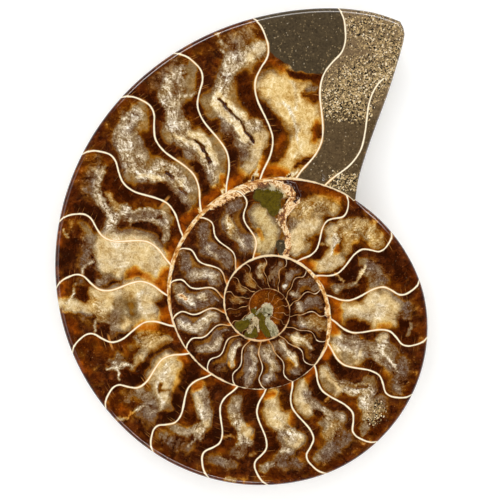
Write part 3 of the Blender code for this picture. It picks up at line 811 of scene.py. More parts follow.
# the same in the hub, with points in mm east and north of the coil's centre
centreStrokes = [
    ("rust", 5.2, 1, .2, -.4), ("olive", 1.3, 1, -7, -4.6, -5.2, -4.2), ("olive", 1.1, 1, -6.4, -5.4),
    ("olive", 1, 1, -4.7, -7.3, -2.9, -7.1, -3.1, -6.2), ("olive", 1, 1, -.8, -3.9, -.6, -5.1, .8, -7),
    ("olive", .9, 1, -1.3, -1.9, -.6, -2.5), ("olive", .8, 1, -3.1, -.8, -2.6, -1.6),
    ("amber", 1.3, 1, -.9, -7, -.8, -7.8), ("rust", 1.2, .7, -.8, -7.2),
    ("chalk", .8, 1, -2.6, -3.2, -3.5, -5, -4.2, -6.2), ("chalk", .5, 1, -2.2, -3.3, -2.1, -4.8),
    ("chalk", .25, 1, -2, -5, -1.7, -6.3), ("sage", 1.95, 1, .33, -.2), ("sage", 1.3, 1, .8, -1.4),
    ("sage", .55, 1, .9, -2.2, .7, -3.3), ("sage", 1.1, 1, 1, -4, 1.9, -5.2),
    ("sage", 1.3, 1, 2.2, -5.6, 2.6, -6.7), ("sage", .5, 1, 1.9, -7.4),
    ("sage", .35, 1, -1.2, -.4, -2.3, -1.5), ("sage", .75, 1, -3.6, -2.1, -4.4, -2.5),
    ("sage", .4, 1, -4.4, -2.6, -5.8, -3.1), ("sage", .4, 1, -4.1, -3.4), ("sage", .3, 1, -2.5, .1),
    ("brown", .3, 1, 1.07, -1.75), ("rust", .25, .8, .14, .1),
]


# how pale each part of the band is; its widths are for chambers as wide as fullPitch, in mm
bandParts = {"honey": 0.4, "ridge": 0.68, "haze": 0.42, "fullPitch": 14.0}


def bandAcross(share, pitch, height):
    # across a chamber: clear honey stone, a sugary ridge, then grey haze that dies away
    side = share * pitch
    away = (share - smoothCurve(bandCentre, height)) * pitch
    grow = pitch / bandParts["fullPitch"]
    honey = bandParts["honey"] * fadeOut(-side, -2.2 * grow, -1.1 * grow) * fadeOut(away, 0.0, 1.5 * grow)
    ridge = bandParts["ridge"] * fadeOut(np.abs(away), 0.5 * grow, 2.0 * grow)
    haze = bandParts["haze"] * fadeOut(away, 0.8 * grow, 3.6 * grow) * fadeOut(-away, 0.0, 1.0)
    sugary = np.maximum(ridge, haze)
    return np.maximum(honey, sugary), np.clip(sugary / bandParts["honey"], 0.0, 1.0), away


def layPaint(layers, near, kind, size, strength, away):
    paint = dict(paintKinds[kind])
    full, gone = [size * k for k in paint.pop("reach")]
    skirt = paint.pop("skirt", 0.0)
    if skirt:
        halo = fadeOut(away, 0.8 * size, 1.6 * size) * strength
        layers["pale"][near] = np.maximum(layers["pale"][near], skirt * halo)
        layers["crisp"][near] = np.maximum(layers["crisp"][near], paint["crisp"] * halo)
    cover = fadeOut(away, full, gone) * strength
    for name, value in paint.items():
        old = layers[name][near]
        layers[name][near] = old + (value - old) * cover


# where the smaller marks lie and how wide they fade, as shares of a chamber's width or a whorl's height
marks = {
    "hookFrom": 0.62, "hookFade": 0.25,       # amber in the corner at a septum's foot
    "footBelow": 0.15, "footFade": 0.13,
    "hookAmber": 0.9, "innerHookAmber": 0.3, "innerFrom": 640,
    "marginFrom": 0.8, "marginFade": 0.12,    # rust and grit along the wall
    "hazeFrom": 0.7, "hazeFade": 0.15, "hazePale": 0.34,
    "septumHidden": 0.66,                     # the first septum stops at the sawn end
    "mudFade": 4.0,                           # mm over which the mud's level top blurs
}


def paintLayers(azimuth, height, radius, tall, chamber, pitch, mist, east, north):
    share = chamber - np.floor(chamber)
    strength, warm, rust = smoothColumns(bandByAzimuth, azimuth)
    layers = {name: np.zeros(azimuth.shape) for name in (
        "pale", "warm", "amber", "dark", "mud", "green", "grain", "vein", "crisp")}
    layers["dark"] = smoothCurve(darkByAzimuth, azimuth)
    band, sugary, away = bandAcross(share, pitch, height)
    layers["pale"] = band * strength * smoothCurve(bandEnds, height)
    inOuter = azimuth < outerWhorlEnds
    layers["warm"] = warm + np.where(inOuter, -0.05 - 0.2 * np.clip(away / 2.0, -1.0, 1.0), 0.0)
    foot = np.clip((marks["footBelow"] - height) / marks["footFade"], 0.0, 1.0)
    hook = np.clip((share - marks["hookFrom"]) / marks["hookFade"], 0.0, 1.0) * foot
    margin = np.clip((height - marks["marginFrom"]) / marks["marginFade"], 0.0, 1.0)
    layers["crisp"] = np.maximum(sugary, 0.8 * margin)
    high = np.clip((height - marks["hazeFrom"]) / marks["hazeFade"], 0.0, 1.0)
    outer = np.where(inOuter, high, 0.3 * margin)
    misty = marks["hazePale"] * outer * np.clip(1.6 * mist, 0.0, 1.0)
    layers["pale"] = np.maximum(layers["pale"], misty)
    layers["warm"] = np.where(outer * mist > 0.2, 0.1, layers["warm"])
    hookAmber = np.where(azimuth < marks["innerFrom"], marks["hookAmber"], marks["innerHookAmber"])
    layers["amber"] = np.maximum(hookAmber * hook, margin * rust)
    hookGlow = smoothCurve(hookGlowByAzimuth, azimuth) * hook**2
    layers["pale"] = np.maximum(layers["pale"] * (1.0 - hook), hookGlow)
    for kind, size, strength, *way in strokes:
        # only the corners near a stroke are worked out, a few degrees to each side of it
        reach = 2 * (2.0 + size * 120.0 / radius.mean())
        near = np.flatnonzero((azimuth > min(way[::2]) - reach) & (azimuth < max(way[::2]) + reach))
        away = brushAway(azimuth[near], height[near], radius[near], tall[near], way)
        layPaint(layers, near, kind, size, strength, away)
    everywhere = np.arange(len(azimuth))
    for kind, size, strength, *way in centreStrokes:
        away = brushAway(east, north, 180 / np.pi, 1.0, way)
        layPaint(layers, everywhere, kind, size, strength, away)
    layers["grain"] = np.where((azimuth < 100.0) & (chamber >= 1.0), 0.0, layers["grain"])
    second = (chamber >= 1.0) & (chamber < 2.0)
    overLine = (height - smoothCurve(mudLine, azimuth)) * tall
    layers["mud"] = np.where(second, np.clip(0.5 + overLine / marks["mudFade"], 0.0, 1.0), layers["mud"])
    layers["mud"] = np.where(chamber < 1.0, 1.0, layers["mud"])
    return list(layers.values())


# half widths in mm, by azimuth; below zero the line fades and is gone
unseen = -1.0
crustSeptum = 20        # the crust stands in for this one
septumWidth = [
    (50, 0.19), (380, 0.18), (440, 0.15), (560, 0.13), (620, 0.07), (780, 0.03), (900, 0.02),
    (975, 0.0), (1160, -0.03), (1200, -0.3),
]
wallWidth = [
    (50, 0.22), (72, 0.3), (86, 0.5), (96, 0.6), (170, 0.5), (190, 0.24), (240, 0.2), (262, 0.08),
    (305, 0.1), (335, 0.55), (390, 0.5), (410, 0.35), (560, 0.22), (600, 0.3), (650, 0.2), (720, 0.1),
    (780, 0.08), (1000, 0.07), (1080, -0.3),
]


def setCornerMap(mesh, name, across, up):
    layer = mesh.uv_layers.new(name=name, do_init=False)
    layer.uv.foreach_set("vector", np.column_stack([across, up]).astype(np.float32).ravel())


def setCornerColour(mesh, name, four):
    layer = mesh.attributes.new(name, "FLOAT_COLOR", "CORNER")
    layer.data.foreach_set("color", np.column_stack(four).astype(np.float32).ravel())


wobble = {"seed": 4, "octaves": [(0.2, 0.4), (0.5, 0.6), (1.1, 0.35)], "hub": 0.2}


def brushWobble(mesh):
    # shifts of up to a millimetre that keep the brush strokes from looking drawn
    noise.seed_set(wobble["seed"])
    shifts = []
    for vert in mesh.vertices:
        at = Vector(vert.co) / mm
        shift = Vector()
        for scale, size in wobble["octaves"]:
            shift += noise.noise_vector(at * scale) * size
        shifts.append(shift)
    return np.array(shifts)


probe = 0.3        # degrees either side at which the chambers are compared


def markFace(mesh):
    loops = len(mesh.loops)
    coilMap = np.empty(loops * 2, np.float32)
    mesh.uv_layers["coil"].uv.foreach_get("vector", coilMap)
    azimuth, height = coilMap.reshape(-1, 2).T.astype(float)
    inner, outer = whorlEdges(azimuth)
    tall = outer - inner
    radius = inner + tall * height

    def chamberOver(azimuthStep, radiusStep):
        a = azimuth + azimuthStep
        s, _ = heightAt(a, radius + radiusStep)
        return chamberAt(a, s)

    chamber = chamberAt(azimuth, height)
    # how fast the chambers pass along and across the whorl gives their width
    along = (chamberOver(probe, 0) - chamberOver(-probe, 0)) / (2 * np.radians(probe) * radius)
    acrossStep = tall * 0.01
    across = (chamberOver(0, acrossStep) - chamberOver(0, -acrossStep)) / (2 * acrossStep)
    pitch = 1.0 / np.maximum(np.hypot(along, across), 1e-4)
    setCornerMap(mesh, "chamber", chamber, height)
    setCornerMap(mesh, "measure", np.clip(pitch, 0.1, 30.0), tall)
    septum = smoothCurve(septumWidth, azimuth)
    septum = np.where((np.round(chamber) == 0) & (height > marks["septumHidden"]), unseen, septum)
    septum = np.where(np.round(chamber) == crustSeptum, unseen, septum)
    wall = smoothCurve(wallWidth, np.where(height > 0.5, azimuth - 360.0, azimuth))
    beforeNotch = azimuth < polish["firstAzimuth"] + polish["fineTurn"]
    wall = np.where((height > 0.5) & beforeNotch, unseen, wall)
    setCornerMap(mesh, "lines", septum, wall)
    corner = np.empty(loops, np.int32)
    mesh.loops.foreach_get("vertex_index", corner)
    spots = np.empty(len(mesh.vertices) * 3, np.float32)
    mesh.vertices.foreach_get("co", spots)
    bend = brushWobble(mesh)[corner]
    east, north = [
        spots[k::3][corner] / mm - stone["coilCentre"][k] + wobble["hub"] * bend[:, k] for k in (0, 1)
    ]
    bentAzimuth, bentHeight = azimuth + np.degrees(bend[:, 0] / radius), height + bend[:, 1] / tall
    painted = paintLayers(bentAzimuth, bentHeight, radius, tall, chamber, pitch, bend[:, 2], east, north)
    setCornerColour(mesh, "paint", painted[:4])
    setCornerColour(mesh, "tint", painted[4:8])
    setCornerColour(mesh, "skin", [painted[8]] * 4)
    down = slitDepthAt(bentAzimuth, bentHeight, radius, tall)
    sunk = np.zeros(len(mesh.vertices))
    np.maximum.at(sunk, corner, down)
    level = spots[2::3] > spots[2::3].max() - 0.02 * mm
    spots[2::3] -= np.where(level, sunk, 0.0) * mm
    mesh.vertices.foreach_set("co", spots)


def tone(red, green, blue):
    # a colour picked on screen, 0 to 255, as the light it stands for
    def light(v):
        v = v / 255.0
        return v / 12.92 if v < 0.04045 else ((v + 0.055) / 1.055) ** 2.4
    return (light(red), light(green), light(blue), 1.0)


class Wire:
    # a value on its way through a node tree: sums written with it add Math nodes
    def __init__(self, nodes, socket):
        self.nodes = nodes
        self.socket = socket

    def math(self, operation, *others):
        return self.nodes.math(operation, self, *others)

    def __add__(self, other):
        return self.math("ADD", other)

    def __sub__(self, other):
        return self.math("SUBTRACT", other)

    def __rsub__(self, other):
        return self.nodes.math("SUBTRACT", other, self)

    def __mul__(self, other):
        return self.math("MULTIPLY", other)

    def __truediv__(self, other):
        return self.math("DIVIDE", other)

    def __abs__(self):
        return self.math("ABSOLUTE")

    def line(self, slope, start):
        return self.math("MULTIPLY_ADD", slope, start)

    def clamped(self):
        self.socket.node.use_clamp = True
        return self

    def outputs(self):
        # every output of the node that this wire comes from
        return [Wire(self.nodes, socket) for socket in self.socket.node.outputs]


class Nodes:
    # short names for the node kinds the finishes are made of
    def __init__(self, tree):
        self.tree = tree

    def put(self, socket, value):
        if isinstance(value, Wire):
            self.tree.links.new(value.socket, socket)
        else:
            socket.default_value = value

    def add(self, kind, inputs=(), output=0, **settings):
        node = self.tree.nodes.new(kind)
        for name, value in settings.items():
            setattr(node, name, value)
        for name, value in dict(inputs).items():
            self.put(node.inputs[name], value)
        return Wire(self, node.outputs[output])

    def math(self, operation, *values):
        return self.add("ShaderNodeMath", enumerate(values), operation=operation)

    def least(self, a, b):
        return self.math("MINIMUM", a, b)

    def most(self, a, b):
        return self.math("MAXIMUM", a, b)

    def step(self, value, low, high):
        inputs = {"Value": value, "From Min": low, "From Max": high}
        return self.add("ShaderNodeMapRange", inputs, interpolation_type="SMOOTHSTEP")

    def mix(self, mask, under, over, blend="MIX"):
        inputs = {0: mask, 6: under, 7: over}
        return self.add("ShaderNodeMix", inputs, 2, data_type="RGBA", blend_type=blend)

    def ramp(self, value, stops):
        made = self.add("ShaderNodeValToRGB", {0: value})
        marks = made.socket.node.color_ramp.elements
        marks[0].position, marks[0].color = stops[0]
        marks[1].position, marks[1].color = stops[-1]
        for at, colour in stops[1:-1]:
            marks.new(at).color = colour
        return made

    def curve(self, value, marks):
        return self.ramp(value, [(at, (level, level, level, 1.0)) for at, level in marks])

    def noise(self, at, scale, detail=3.0, rough=0.55, shift=None, output=0):
        if shift:
            at = self.vector("ADD", at, shift)
        inputs = {"Vector": at, "Scale": scale, "Detail": detail, "Roughness": rough}
        return self.add("ShaderNodeTexNoise", inputs, output)

    def cells(self, at, scale, output="Color", feature="F1"):
        return self.add("ShaderNodeTexVoronoi", {"Vector": at, "Scale": scale}, output, feature=feature)

    def vector(self, operation, *values):
        names = (0, "Scale") if operation == "SCALE" else (0, 1)
        output = "Value" if operation == "LENGTH" else "Vector"
        return self.add("ShaderNodeVectorMath", zip(names, values), output, operation=operation)

    def combine(self, x, y, z=0.0):
        return self.add("ShaderNodeCombineXYZ", enumerate((x, y, z)))

    def split(self, vector):
        return self.add("ShaderNodeSeparateXYZ", {0: vector}).outputs()

    def cornerMap(self, name):
        return self.split(self.add("ShaderNodeUVMap", uv_map=name))

    def cornerColour(self, name):
        whole = self.add("ShaderNodeAttribute", output="Color", attribute_name=name)
        alpha = Wire(self, whole.socket.node.outputs["Alpha"])
        return self.add("ShaderNodeSeparateColor", {0: whole}).outputs()[:3] + [alpha]

    def grit(self, group, place):
        # a group's sockets are there once it has its tree
        made = self.add("ShaderNodeGroup", node_tree=group)
        self.put(made.socket.node.inputs["Place"], place)
        return made.outputs()

    def bump(self, height, strength, distance):
        inputs = {"Height": height, "Strength": strength, "Distance": distance * mm}
        return self.add("ShaderNodeBump", inputs)


def startMaterial(name):
    material = bpy.data.materials.new(name)
    material.use_nodes = True
    tree = material.node_tree
    return material, Nodes(tree), tree.nodes["Principled BSDF"].inputs


stone = {
    "neutral": [
        (0.0, tone(44, 12, 0)), (0.1, tone(67, 24, 1)), (0.18, tone(88, 36, 2)),
        (0.26, tone(110, 60, 8)), (0.34, tone(116, 84, 40)), (0.43, tone(136, 108, 68)),
        (0.52, tone(162, 136, 96)), (0.64, tone(188, 164, 126)), (0.8, tone(218, 198, 162)),
        (1.0, tone(248, 240, 222)),
    ],
    "warm": [
        (0.0, tone(52, 15, 1)), (0.1, tone(84, 34, 2)), (0.18, tone(118, 56, 4)),
        (0.26, tone(150, 88, 14)), (0.34, tone(160, 110, 38)), (0.43, tone(180, 136, 66)),
        (0.52, tone(200, 160, 92)), (0.64, tone(218, 184, 118)), (0.8, tone(234, 208, 150)),
        (1.0, tone(250, 240, 208)),
    ],
    "cool": [
        (0.0, tone(34, 10, 2)), (0.1, tone(52, 20, 5)), (0.2, tone(72, 38, 16)),
        (0.3, tone(94, 66, 46)), (0.4, tone(112, 90, 72)), (0.52, tone(140, 121, 103)),
        (0.64, tone(170, 153, 134)), (0.8, tone(208, 194, 174)), (1.0, tone(246, 242, 234)),
    ],
    "amber": [
        (0.0, tone(54, 14, 0)), (0.1, tone(94, 34, 0)), (0.2, tone(142, 63, 0)),
        (0.32, tone(190, 100, 0)), (0.46, tone(216, 140, 10)), (0.66, tone(236, 190, 80)),
        (1.0, tone(250, 232, 190)),
    ],
    "honey": [
        (0.15, tone(120, 68, 4)), (0.3, tone(172, 118, 22)), (0.45, tone(206, 160, 66)),
        (0.65, tone(230, 198, 120)),
    ],
    "gold": [
        (0.05, tone(70, 32, 2)), (0.2, tone(132, 78, 6)), (0.35, tone(164, 112, 28)),
        (0.6, tone(206, 160, 80)),
    ],
    "mud": [(0.35, tone(50, 40, 25)), (0.65, tone(84, 69, 45))],
    "silt": [(0.32, tone(76, 58, 36)), (0.65, tone(138, 113, 80))],
    "siltFoot": [(0.32, tone(56, 42, 24)), (0.65, tone(100, 79, 50))],
    "olive": [(0.35, tone(58, 46, 0)), (0.65, tone(102, 84, 4))],
    "crust": [
        (0.3, tone(104, 52, 12)), (0.42, tone(186, 122, 52)), (0.5, tone(222, 180, 116)),
        (0.58, tone(244, 224, 184)), (0.68, tone(196, 140, 78)),
    ],
    "sage": [(0.3, tone(84, 76, 38)), (0.42, tone(136, 126, 90)), (0.6, tone(174, 163, 128))],
    "sand": [
        (0.0, tone(24, 18, 11)), (0.22, tone(46, 36, 22)), (0.3, tone(124, 102, 66)),
        (0.6, tone(160, 134, 90)), (0.85, tone(198, 168, 116)), (1.0, tone(236, 220, 188)),
    ],
    "needle": tone(206, 140, 66),
    "greenCast": tone(196, 190, 120),
    "mudPit": tone(38, 30, 18),
    "septum": tone(242, 230, 198),
    "septumInner": tone(206, 160, 104),
    "wall": tone(232, 206, 164),
    "septumEdge": tone(118, 64, 14),
    "septumGlow": tone(226, 162, 82),
    "coatRoughness": 0.05,
    "coilCentre": (6.42, -16.65, 0.0),
}


def stoneGrain():
    # fine grit shared by the polished face and the shell: a soft mottle, specks and small pits
    tree = bpy.data.node_groups.new("stoneGrain", "ShaderNodeTree")
    tree.interface.new_socket("Place", in_out="INPUT", socket_type="NodeSocketVector")
    for name in ("Mottle", "Specks", "Pits"):
        tree.interface.new_socket(name, in_out="OUTPUT", socket_type="NodeSocketFloat")
    n = Nodes(tree)
    place = n.add("NodeGroupInput", output="Place")
    result = tree.nodes.new("NodeGroupOutput").inputs
    n.put(result["Mottle"], n.noise(place, 1.3, 4.0, 0.75))
    pick = n.split(n.cells(place, 2.6))[0]
    n.put(result["Specks"], n.step(pick, 0.82, 0.94))
    hole = 1.0 - n.step(n.cells(place, 0.7, "Distance"), 0.06, 0.22)
    n.put(result["Pits"], hole * n.step(n.split(n.cells(place, 0.7))[1], 0.6, 0.7))
    return tree


def polishedStone(grains):
    material, n, shader = startMaterial("polishedStone")
    place = n.vector("SCALE", n.add("ShaderNodeTexCoord", output="Object"), 1.0 / mm)
    chamber, height = n.cornerMap("chamber")[:2]
    pitch, tall = n.cornerMap("measure")[:2]
    septumHalf, wallHalf = n.cornerMap("lines")[:2]
    pale, warm, amber, dark = n.cornerColour("paint")
    mud, green, grain, vein = n.cornerColour("tint")
    sugar = n.cornerColour("skin")[0]
    smooth = 1.0 - sugar

    whole = chamber.math("ROUND")
    toSeptum = abs(chamber - whole) * pitch
    toWall = n.least(height, 1.0 - height) * tall
    wander = n.noise(place, 0.55, 3.0).line(0.24, -0.12)
    toSeptum = toSeptum + wander
    toWall = toWall + wander * 2.5

    # crystals: broken patches, growth bands that follow the septa, facets, threads and grains
    bend = n.noise(place, 0.45, 4.0, 0.5, output="Color")
    bent = n.vector("ADD", place, n.vector("SCALE", bend, 3.0))
    mid = n.noise(bent, 0.42, 3.0, 0.6)
    patches = n.step(n.noise(bent, 0.75, 2.0, 0.5, (9.0, 21.0, 0.0)), 0.47, 0.57)
    flakes = n.step(n.noise(bent, 1.5, 2.0, 0.5, (19.0, 2.0, 0.0)), 0.5, 0.6)
    fine = n.noise(place, 2.3, 2.0, 0.6)
    rise = height * tall
    bandsAt = n.combine(chamber * 8.0, rise * 0.2)
    bandsAt = n.vector("ADD", bandsAt, n.vector("SCALE", bend, 1.0))
    bands = n.noise(bandsAt, 1.0, 4.0, 0.65)
    fibreAt = n.combine(rise * 1.7, toSeptum * 0.28, whole * 3.7)
    fibre = n.noise(fibreAt, 1.0, 3.0, 0.6)
    facets = n.split(n.cells(bent, 1.3))[0]
    streakAt = n.combine(chamber * 22.0, rise * 0.32)
    streakAt = n.vector("ADD", streakAt, n.vector("SCALE", bend, 2.2))
    streak = n.noise(streakAt, 1.0, 3.0, 0.65)

    def threads(scale, shift, width):
        ridge = abs(n.noise(bent, scale, 4.0, 0.6, shift) - 0.5)
        return 1.0 - n.step(ridge, 0.0, width)

    paleThreads = n.most(threads(0.4, (31.0, 7.0, 0.0), 0.04), threads(0.9, (3.0, 70.0, 0.0), 0.05))
    darkThreads = threads(0.6, (11.0, 47.0, 0.0), 0.05)
    dots = n.cells(place, 1.5, "Distance")
    dotPick = n.split(n.cells(place, 1.5))[1]
    sparkle = (1.0 - n.step(dots, 0.1, 0.3)) * n.step(dotPick, 0.72, 0.8)

    cloud = (mid - 0.5) * 2.0 + (bands - 0.5) * 1.6
    grainGap = n.step(n.cells(bent, 0.9, "Distance", "DISTANCE_TO_EDGE"), 0.0, 0.28)
    crisp = (patches - 0.5) * 0.16 + (flakes - 0.4) * 0.16 + (facets - 0.5) * 0.14
    crisp = crisp + (fine - 0.5) * 0.6 + (streak - 0.5) * 1.5 + grainGap.line(0.2, -0.14)
    soft = (mid - 0.5) * 2.6 + (bands - 0.5) * 0.5
    cloud = cloud * sugar + soft * smooth
    rough = cloud + crisp
    texture = rough * 0.5 + 0.5

    warm = warm + n.noise(bent, 0.28, 2.0, 0.5, (5.0, 40.0, 0.0)).line(0.9, -0.45)
    cool = warm.line(-2.0, 1.0).clamped()
    hot = warm.line(2.0, -1.0).clamped()
    edgeHere = (pale * 3.0).clamped()
    edgeNoise = rough * sugar.line(0.27, 0.04) * edgeHere
    body = (pale + edgeNoise).clamped()
    value = n.curve(body, [
        (0.0, 0.085), (0.16, 0.125), (0.26, 0.25), (0.36, 0.34), (0.55, 0.42), (0.72, 0.53),
        (0.86, 0.65), (1.0, 0.74),
    ])
    cloudShare = n.curve(body, [(0.0, 0.17), (0.3, 0.12), (0.55, 0.13), (0.8, 0.22), (1.0, 0.2)])
    crispShare = n.curve(body, [(0.0, 0.07), (0.3, 0.12), (0.55, 0.26), (0.75, 0.55), (1.0, 0.6)])
    crispShare = crispShare * sugar.line(0.94, 0.06)
    clear = n.curve(body, [(0.0, 0.6), (0.2, 0.7), (0.35, 1.0), (0.6, 0.6), (0.75, 0.0)])
    value = value + cloud * cloudShare + crisp * crispShare + (fibre - 0.5) * (clear * 0.2)
    value = value + paleThreads * body.line(0.14, 0.05) - darkThreads * sugar * body.line(0.14, 0.02)
    value = value + sparkle * sugar.line(0.24, 0.05) - dark * 0.08

    colour = n.ramp(value, stone["neutral"])
    colour = n.mix(cool, colour, n.ramp(value, stone["cool"]))
    colour = n.mix(hot, colour, n.ramp(value, stone["warm"]))
    beside = n.step(toSeptum, 0.3, 2.0)
    ember = n.step(mid, 0.4, 0.62) * beside * (1.0 - edgeHere)
    ember = ember * (0.34 - dark * 0.2)
    value = value - (1.0 - beside) * 0.04
    glow = n.step(n.most(amber, ember) + cloud * 0.16, 0.05, 1.05)
    depth = mid.line(0.5, -0.07) + pale * 0.3
    deep = (depth - value) * (glow * 0.7)
    honeyHere = n.curve(glow, [(0.0, 0.0), (0.2, 0.8), (0.45, 0.5), (0.75, 0.0)])
    colour = n.mix(honeyHere * edgeHere, colour, n.ramp(value, stone["honey"]))
    colour = n.mix((glow * 1.15).clamped(), colour, n.ramp(value + deep, stone["amber"]))
    goldEdge = n.curve(body, [(0.0, 0.0), (0.1, 0.1), (0.18, 0.75), (0.25, 0.6), (0.32, 0.0)])
    goldEdge = goldEdge * smooth * (1.0 - glow)
    colour = n.mix(goldEdge, colour, n.ramp(value, stone["gold"]))
    needleAt = n.noise(n.combine(rise * 0.35, whole * 5.3), 1.0, 0.0, 0.5)
    needles = (1.0 - n.step(abs(needleAt - 0.56), 0.0, 0.006)) * (1.0 - n.step(toSeptum, 1.0, 2.4))
    needles = needles * n.step(pitch, 8.0, 11.0)
    colour = n.mix(needles * 0.7, colour, stone["needle"])
    colour = n.mix(green * 0.5, colour, n.mix(1.0, colour, stone["greenCast"], "MULTIPLY"))

    # sediment: mud, silt with a darker foot, sand grains, crust, chalk and the olive patches
    mottle, _, pits = n.grit(grains, place)
    settled = mottle * 0.7 + mid * 0.3
    siltTop = n.step(height + mid * 0.2, 0.5, 0.66)
    siltTone = n.mix(siltTop, n.ramp(settled, stone["siltFoot"]), n.ramp(settled, stone["silt"]))
    mudTone = n.mix(chamber.math("LESS_THAN", 1.0), n.ramp(settled, stone["mud"]), siltTone)
    mudTone = n.mix(green, mudTone, n.ramp(settled, stone["olive"]))
    mudHere = n.step(mud, 0.46, 0.54)
    mudTone = n.mix(pits * 0.5, mudTone, stone["mudPit"])
    colour = n.mix(mudHere, colour, mudTone)
    sand = n.cells(place, 3.1)
    sandPick = n.split(sand)
    sandy = n.most(grain, mudHere * (0.06 - green * 0.06))
    grainHere = (sandPick[1] + sandy * 0.72).math("GREATER_THAN", 0.97)
    colour = n.mix(grainHere * n.step(sandy, -0.03, 0.2), colour, n.ramp(sandPick[0], stone["sand"]))
    veinHere = n.step(vein + rough * 0.5, 0.35, 0.65)
    crustTone = n.mix(green, n.ramp(texture, stone["crust"]), n.ramp(texture, stone["sage"]))
    colour = n.mix(veinHere, colour, crustTone)

    # septa and whorl walls, each with a core and a softer edge, hidden where sediment is green
    buried = 1.0 - green * n.most(mud, vein)
    past = toSeptum - edgeHere.line(-0.03, septumHalf)
    septumEdge = 1.0 - n.step(past, 0.0, edgeHere.line(0.12, 0.2))
    septumEdge = septumEdge * n.step(pitch, 2.5, 6.0).line(0.7, 0.1)
    edgeTone = n.mix(edgeHere, stone["septumEdge"], stone["septumGlow"])
    colour = n.mix(septumEdge * buried, colour, edgeTone)
    septumCore = 1.0 - n.step(past, -0.07, 0.09)
    septumTone = n.mix(n.step(pitch, 3.2, 6.4), stone["septumInner"], stone["septum"])
    colour = n.mix(septumCore * buried, colour, septumTone)
    wallCore = 1.0 - n.step(toWall - wallHalf, -0.16, 0.08)
    fromCoil = n.vector("SUBTRACT", place, stone["coilCentre"])
    layersAt = n.combine(0.0, 0.0, n.vector("LENGTH", fromCoil) * 1.5)
    layersAt = n.vector("ADD", n.vector("SCALE", n.vector("NORMALIZE", fromCoil), 14.0), layersAt)
    layersHere = n.noise(layersAt, 1.0, 3.0, 0.65)
    wallTone = n.mix(n.step(wallHalf, 0.28, 0.42), stone["wall"], n.ramp(layersHere, stone["crust"]))
    wallTone = n.mix(n.step(pitch, 2.2, 4.2), stone["septumInner"], wallTone)
    colour = n.mix(wallCore * buried, colour, wallTone)

    n.put(shader["Base Color"], colour)
    matte = n.most(mudHere * 0.35, veinHere)
    n.put(shader["Roughness"], matte.line(0.3, 0.12))
    shader["Specular IOR Level"].default_value = 0.25
    n.put(shader["Normal"], n.bump((texture + mottle) * matte, 0.35, 0.15))
    faceHere = n.step(n.split(place)[2], coil["thickness"] - 1.0, coil["thickness"] - 0.15)
    n.put(shader["Coat Weight"], faceHere.line(0.45, 0.15))
    shader["Coat Roughness"].default_value = stone["coatRoughness"]
    return material


shellFinish = {
    "stone": [
        (0.3, tone(74, 46, 28)), (0.45, tone(122, 86, 54)), (0.58, tone(158, 124, 84)),
        (0.72, tone(196, 168, 128)),
    ],
    "nacre": [
        (0.25, tone(122, 66, 46)), (0.4, tone(170, 112, 72)), (0.5, tone(178, 156, 104)),
        (0.6, tone(132, 142, 104)), (0.7, tone(190, 150, 128)), (0.82, tone(226, 208, 182)),
    ],
    "darkBrownAndShade": tone(58, 44, 30),
    "midBrown": tone(120, 96, 64),
    "chalk": tone(206, 190, 160),
    "rust": tone(134, 62, 20),
    "edge": tone(96, 46, 14),
    "sawn": [(0.35, tone(84, 66, 42)), (0.65, tone(134, 112, 78))],
    "ribContrast": 0.22,
    "coatRoughness": 0.18,
}


